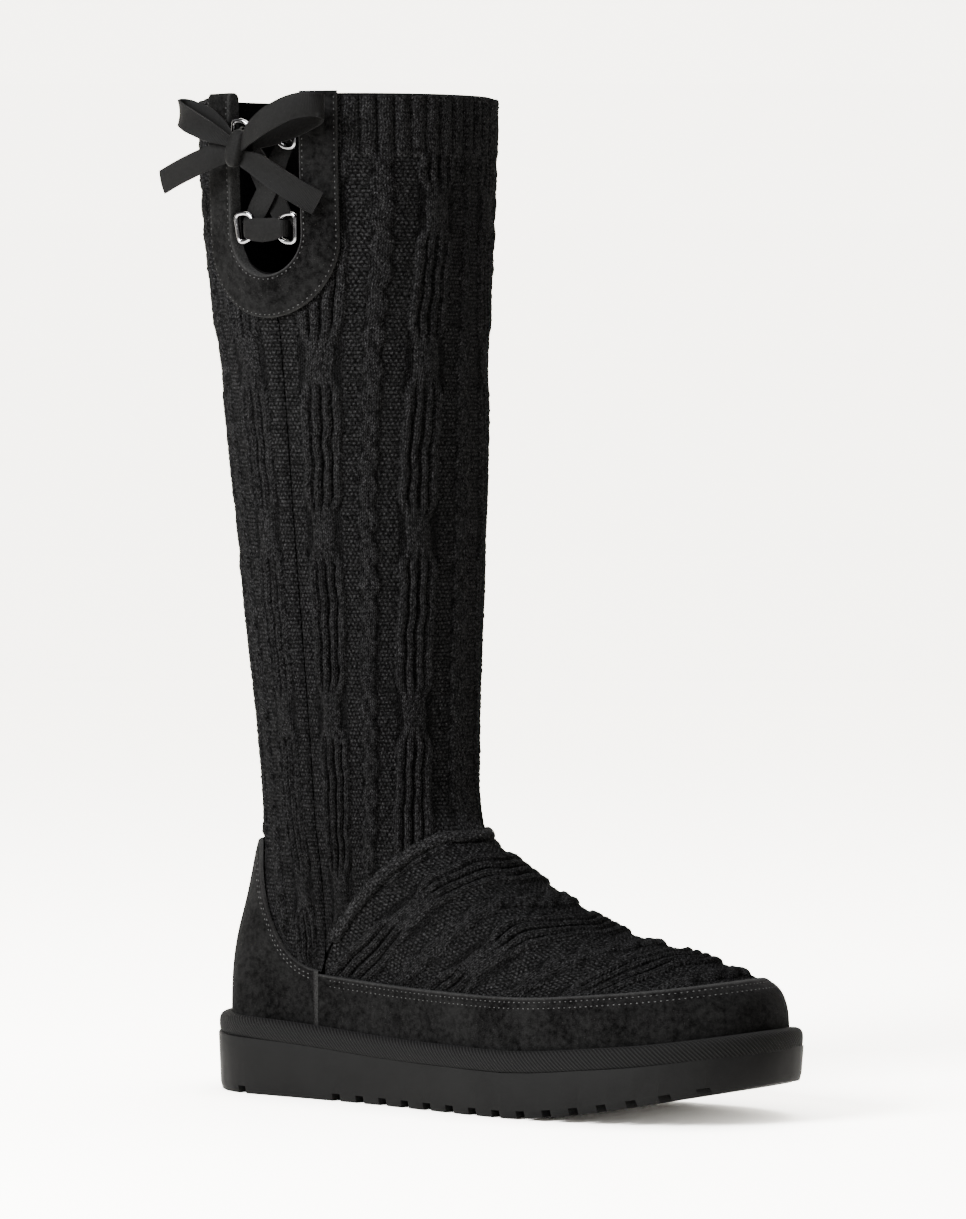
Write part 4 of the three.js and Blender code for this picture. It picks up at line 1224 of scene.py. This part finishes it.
# %% Collar patch
def u_place(a, half, drop):
    """Place on a U at a share along it, from the front of the collar round to the back."""
    straight, bend = drop, math.pi * half
    at = a * (2 * straight + bend)
    if at < straight:
        return SLOT_MIDDLE + half, COLLAR - 0.3 - at
    if at < straight + bend:
        angle = (at - straight) / half
        return SLOT_MIDDLE + half * math.cos(angle), COLLAR - 0.3 - drop - half * math.sin(angle)
    return SLOT_MIDDLE - half, COLLAR - 0.3 - drop + (at - straight - bend)


def outer_side(x, z):
    return np.array(upper_tree.ray_cast(Vector((x, -120, z)), Vector((0, 1, 0)))[0])


PATCH_ROWS = [
    (0.02, -3.4), (0.02, -1.5), (0.02, 0.6), (0.03, 1.5), (0.06, 1.95), (0.09, 2.05), (0.125, 1.85),
    (0.16, 2.0), (0.22, 2.0), (0.3, 2.0), (0.45, 2.0), (0.6, 2.0), (0.75, 2.0), (0.86, 2.0),
    (0.9, 1.98), (0.93, 1.85), (0.955, 2.0), (0.98, 1.95), (0.995, 1.5), (1.0, 0.1),
]
columns = 150
base = np.zeros((columns + 1, len(PATCH_ROWS), 3))
for i in range(columns + 1):
    for j, (out, _) in enumerate(PATCH_ROWS):
        half = SLOT_HALF + 0.02 + (PATCH_HALF - SLOT_HALF) * out
        x, z = u_place(i / columns, half, SLOT_DROP + (PATCH_DROP - SLOT_DROP) * out)
        base[i, j] = outer_side(x, min(z, COLLAR - 0.3))
base[..., 1] = soften(soften(base[..., 1], 6, 0), 5, 1)
patch_outward = np.zeros(base.shape)
patch_outward[..., 0] = (base[..., 0] - SLOT_MIDDLE) / COLLAR_OVAL[1] ** 2
patch_outward[..., 1] = base[..., 1] / COLLAR_OVAL[2] ** 2
patch_outward = unit(patch_outward)
run = np.arange(columns + 1)
edge = np.clip(np.minimum(run, columns - run) / 1.5, 0, 1)[:, None] ** 0.5
offsets = np.array([row[1] for row in PATCH_ROWS])[None, :] * (0.5 + 0.5 * edge)
wave = 0.1 * np.sin(run / 5.0)[:, None] * np.ones(len(PATCH_ROWS))[None, :]
wavy_rows = np.array([row[1] >= 1.4 for row in PATCH_ROWS])
out = np.array([row[0] for row in PATCH_ROWS])
raw = np.maximum(smoothstep(0.97, 0.99, out), 0.8 * (out < 0.07))[None, :] * np.ones((columns + 1, 1))
patch_places = base + patch_outward * (offsets + wave * wavy_rows[None, :])[..., None]
patch = laid("suede_patch", patch_places, raw=raw)
dress(patch, "suede_patch", "suede", suede, "collar_patch")
print("patch: bottom, mm:", round(float(patch_places[..., 2].min()), 1))

# %% [markdown]
# ## Instep seam
# Where the leg is sewn to the foot's knit, the seam's allowance stands as a soft roll.
# It is a strip along the seam's line, raised to a half round and lumpy like the knit.

# %% Instep seam
SEAM_TURN, SEAM_HALF, SEAM_HIGH = 1.45, 2.7, 2.1
path = []
for theta in np.linspace(-SEAM_TURN, SEAM_TURN, 261):
    x, z = seam_crossing(theta, 70.0, 0.0, 50.0, 16)
    if x > SEAM_START[0] + 0.3:
        path.append(leg_point(theta, z))
path = soften(np.array(path), 8, 0)
normal = np.array([upper_tree.find_nearest(Vector(p))[1] for p in path])
normal = unit(soften(normal, 24, 0))
across = np.cross(unit(np.gradient(path, axis=0)), normal)
pace = pace_along(path)
around = np.linspace(-1, 1, 15) * math.pi * 0.5
lump = 1 + 0.07 * np.sin(pace * 2 * math.pi / 4.3) + 0.05 * np.sin(pace * 2 * math.pi / 9.1 + 1)
tip = smoothstep(0, 3.0, pace) * smoothstep(0, 3.0, pace[-1] - pace)
half_wide = SEAM_HALF * lump * (0.55 + 0.45 * tip)
high = SEAM_HIGH * lump * (0.4 + 0.6 * tip)
base = (
    path[:, None] + across[:, None] * (half_wide[:, None] * np.sin(around)[None, :])[..., None]
    + normal[:, None] * (high[:, None] * np.cos(around)[None, :] ** 0.8 - 0.4)[..., None]
)
uv = (np.ones((len(path), 1)) * around[None, :] * 0.26, pace[:, None] / 10 * np.ones((1, 15)))
roll = laid("knit_instep_seam", base, uv)
write_attribute(roll, "purl", np.full(len(roll.data.vertices), 0.6))
# a fixed share of the knit's painted hollow shade, which makes the whole roll a little darker
write_attribute(roll, "hollow_shade", np.full(len(roll.data.vertices), 0.3))
edit(roll, bpy.ops.mesh.flip_normals)
dress(roll, "knit_instep_seam", "knit", knit, "vamp_seam")
print("instep seam, mm:", round(float(pace[-1]), 1))

# %% [markdown]
# ## Tape binding
# The real sole's top edge is bound with a woven tape rolled to a bead. The bead is
# swept around the foot over the CAD binding, and its lower side goes down onto the
# sole, so that no slit shows between them.

# %% Tape binding
columns, bead_rows = 240, 15
turn_steps = np.linspace(-0.5, 0.5, bead_rows) * math.pi
low_half = turn_steps < 0
bead_rise = 4.5 + np.where(low_half, -4.8, 4.0) * np.abs(np.sin(turn_steps)) ** 0.85
bead_out = 2.4 + 4.9 * np.cos(turn_steps) ** np.where(low_half, 0.2, 0.6)
base = np.zeros((columns + 1, bead_rows, 3))
for i in range(columns + 1):
    phi = -math.pi + 2 * math.pi * i / columns
    spot_low, spot_high = foot_spot(phi, 1.4), foot_spot(phi, 8.3)
    share = (bead_rise[:, None] - 0.5) / 8
    base[i] = spot_low * (1 - share) + spot_high * share
base[-1] = base[0]
base[:-1] = soften(base[:-1], 14, 0, closed=True)
base[-1] = base[0]
base[..., 2] = np.interp(base[..., 0], SOLE_X, SOLE_Z) + bead_rise[None, :]
ring = np.concatenate([base[-2:-1], base, base[1:2]], axis=0)
outward = unit(np.cross(ring[2:] - ring[:-2], np.array([0.0, 0, 1])))
if (outward[:, 0] * base[:, 0]).sum() < 0:
    outward = -outward
bead = base + outward * (bead_out[None, :] * np.ones((columns + 1, 1)))[..., None]
pace = pace_along(bead[:, 7])
bead_around = pace_along(np.stack([bead_rise, bead_out], 1))
uv = (bead_around[None, :] / 10 * np.ones((columns + 1, 1)), pace[:, None] / 10 * np.ones((1, bead_rows)))
bound = laid("tape_binding", bead, uv, closed=True)
dress(bound, "tape_binding", "tape", tape, "binding")
print("tape, mm around:", round(float(pace[-1]), 1))

# %% [markdown]
# ## Sole and insole
# Both are copies of the CAD solids with their edges eased, as moulded rubber and cut
# fleece have them. The lugs, the channels and the toe's spring stay as they are.

# %% Sole and insole
SHARP = math.radians(40)
for name, solid, slot, material, eased in (
    ("rubber_sole", "outsole", "sole", rubber, 0.5), ("fleece_insole", "insole", "lining", lining, 1.0),
):
    obj = copy_of(solid)
    modify(obj, "BEVEL", width=eased * MM, segments=2, limit_method="ANGLE", angle_limit=SHARP)
    dress(obj, name, slot, material, solid)
    print(name, "faces:", len(obj.data.polygons))

# %% [markdown]
# ## D rings
# The rings are bent from nickel-plated wire, with the straight bar at the slot's edge.
# Each is a closed curve of Bezier arcs with the wire's thickness, made into a mesh. It
# lies as far out from the collar as its CAD ring does.

# %% D rings
RING_DEEP, RING_HALF, RING_CORNER, WIRE = 8.6, 5.8, 2.15, 1.9
# side of the slot, drop below the collar, lean in degrees, straight bar's distance from the middle
RINGS = {
    "d_ring_lower_front": (1, 56.0, 0, 15.06), "d_ring_lower_back": (-1, 56.0, 12, 14.54),
    "d_ring_upper_front": (1, 17.5, 0, 15.75), "d_ring_upper_back": (-1, 17.5, 0, 15.75),
}
ring_out = {}


def bezier(a, b, c, d, steps):
    """Places along one Bezier arc, without its last."""
    t = np.linspace(0, 1, steps, endpoint=False)[:, None]
    a, b, c, d = (np.array(p, float) for p in (a, b, c, d))
    return a * (1 - t) ** 3 + 3 * b * t * (1 - t) ** 2 + 3 * c * t * t * (1 - t) + d * t**3


for name, (side, drop, lean, bar) in RINGS.items():
    box_y = [v.co[1] / MM for v in nodes[name].data.vertices]
    ring_out[name] = -(min(box_y) + max(box_y)) / 2 - COLLAR_HALF
    deep, half, corner = RING_DEEP, RING_HALF, RING_CORNER
    flat = np.concatenate([
        bezier((0, corner - half), (0, -1), (0, 1), (0, half - corner), 10),
        bezier((0, half - corner), (0, half - 0.7), (0.7, half), (corner, half), 8),
        bezier((corner, half), (0.8 * deep, half), (deep, 0.6 * half), (deep, 0), 16),
        bezier((deep, 0), (deep, -0.6 * half), (0.8 * deep, -half), (corner, -half), 16),
        bezier((corner, -half), (0.7, -half), (0, 0.7 - half), (0, corner - half), 8),
    ])
    tilt = math.radians(lean)
    u, v = -side * flat[:, 0], flat[:, 1]
    place = at_slot(side * bar, drop, ring_out[name])
    wire = bpy.data.curves.new(name + "_wire", "CURVE")
    wire.dimensions = "3D"
    wire.bevel_depth = WIRE / 2 * MM
    wire.bevel_resolution = 4
    spline = wire.splines.new("POLY")
    spline.points.add(len(flat) - 1)
    spline.use_cyclic_u = True
    for k in range(len(flat)):
        x = place[0] + u[k] * math.cos(tilt) - v[k] * math.sin(tilt)
        z = place[2] + u[k] * math.sin(tilt) + v[k] * math.cos(tilt)
        spline.points[k].co = (x * MM, place[1] * MM, z * MM, 1)
    obj = bpy.data.objects.new(name + "_wire", wire)
    bpy.context.scene.collection.objects.link(obj)
    activate(obj)
    bpy.ops.object.convert(target="MESH")
    obj = bpy.context.object
    dress(obj, name + "_wire", "metal", nickel, name)
print("rings out from the collar, mm:", {k: round(v, 2) for k, v in ring_out.items()})

# %% [markdown]
# ## Lacing
# The ribbon makes a bar through the lower rings, crosses inside the slot and comes out
# through the upper rings to the knot. It narrows where a ring gathers it, and one
# crossing passes behind the other. Rows are as for the bow.

# %% Lacing through the rings
beside = WIRE / 2 + RIBBON_THICK / 2 + 0.45
low_level, high_level = ring_out["d_ring_lower_front"], ring_out["d_ring_upper_front"]
low_behind, low_before = low_level - beside, low_level + beside
high_behind, high_before = high_level - beside, high_level + beside
front = RINGS["d_ring_lower_front"][3] - RING_DEEP / 2
back = RING_DEEP / 2 - RINGS["d_ring_lower_back"][3]
upper = RINGS["d_ring_upper_front"][3] - RING_DEEP / 2
cross_drop, cross_out = 40.15, (low_behind + high_behind) / 2
knot_back = KNOT_PLACE[2] - KNOT_HALF[1] - 0.85


def cross(side, deeper):
    foot = back if side > 0 else front
    return [
        (foot, 55.4, low_behind, 7.5),
        (foot / 2, 48.1, (low_behind + cross_out) / 2 - deeper / 2, 9.7),
        (0, cross_drop, cross_out - deeper, 10),
        (side * upper / 2, 29.0, (high_behind + cross_out) / 2 - deeper / 2, 9.7),
        (side * upper, 19.4, high_behind, 7.5),
    ]


def run_out(side):
    return [
        (side * upper, 17.8, high_behind, 6.6), (side * upper, 17.8, high_level, 6.6),
        (side * (upper - 0.9), 18.0, high_before + 0.3, 5.5),
    ]


laces = {
    "lace_bar": [
        (back, 56, low_behind, 6.6), (back, 56, low_level, 6.6), (back + 1.3, 56, low_before - 0.1, 6.6),
        (0.55 * back, 56.2, low_before, 9), (0, 56.6, low_before + 0.2, 9.6),
        (0.55 * front, 56.2, low_before, 9),
        (front - 1.3, 56, low_before - 0.1, 6.6), (front, 56, low_level, 6.6), (front, 56, low_behind, 6.6),
    ],
    "lace_cross_front": cross(1, 0),
    "lace_cross_back": cross(-1, 1.2),
    "lace_run_front": run_out(1) + [
        (1.0, 19.2, 0.8 * high_before + 0.2 * knot_back, 6), (-6.4, 23, knot_back, 5.5),
    ],
    "lace_run_back": run_out(-1) + [(-upper + 1.4, 18.6, knot_back, 5)],
}
for name, rows in laces.items():
    strip, _ = ribbon(name, rows, 60)
    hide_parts("lace_crossings")
print("laces:", len(laces))

# %% [markdown]
# ## Stitches
# Rows of light thread hold the suede: two below the foxing's rolled edge, two along
# the counter's edge, one around the slot and one along the patch's outer edge. One
# stitch is a short round-ended bar, and it is repeated along each row.


# %% Stitches
STITCH_PITCH, STITCH_LONG, STITCH_THICK, STITCH_SINK, STITCH_BOW = 2.45, 1.35, 0.27, 0.02, 0.28


def row_of_stitches(name, path, outward):
    """Repeats one stitch along a path, lying along it on the suede."""
    pace = pace_along(path)

    def between(values, where):
        return np.stack([np.interp(where, pace, values[:, k]) for k in range(3)], 1)

    at = np.arange(STITCH_PITCH / 2, pace[-1] - STITCH_PITCH / 3, STITCH_PITCH)
    spots = between(path, at)
    facing = unit(between(outward, at))
    ahead = unit(between(path, at + 0.5) - between(path, at - 0.5))
    aside = np.cross(facing, ahead)
    bpy.ops.mesh.primitive_uv_sphere_add(segments=8, ring_count=6, radius=1)
    one = bpy.context.object
    shape = read_points(one) * MM
    lift = shape[:, 1] * STITCH_THICK * 0.8 - STITCH_BOW * shape[:, 2] ** 2 - STITCH_SINK
    shape = np.stack([shape[:, 2] * STITCH_LONG / 2, shape[:, 0] * STITCH_THICK, lift], 1)
    faces = [list(face.vertices) for face in one.data.polygons]
    vertices, polygons = [], []
    for k in range(len(at)):
        vertices.append(spots[k] + shape @ np.stack([ahead[k], aside[k], facing[k]]))
        polygons += [[k * len(shape) + v for v in face] for face in faces]
    mesh = bpy.data.meshes.new(name)
    mesh.from_pydata((np.concatenate(vertices) * MM).tolist(), [], polygons)
    bpy.data.objects.remove(one)
    obj = bpy.data.objects.new(name, mesh)
    bpy.context.scene.collection.objects.link(obj)
    dress(obj, name, "suede", thread)
    return len(at)


count = 0
for name, row in (("stitches_foxing_low", 8), ("stitches_foxing_high", 12)):
    count += row_of_stitches(name, foxing_places[2:-2, row], foxing_outward[2:-2, row])
for name, gap in (("stitches_counter_outer", 30), ("stitches_counter_inner", 28)):
    count += row_of_stitches(name, counter_places[3:-3, gap], counter_outward[3:-3, gap])
for name, row in (("stitches_slot", 6), ("stitches_patch", 15)):
    count += row_of_stitches(name, patch_places[1:-1, row], patch_outward[1:-1, row])
print("stitches:", count)
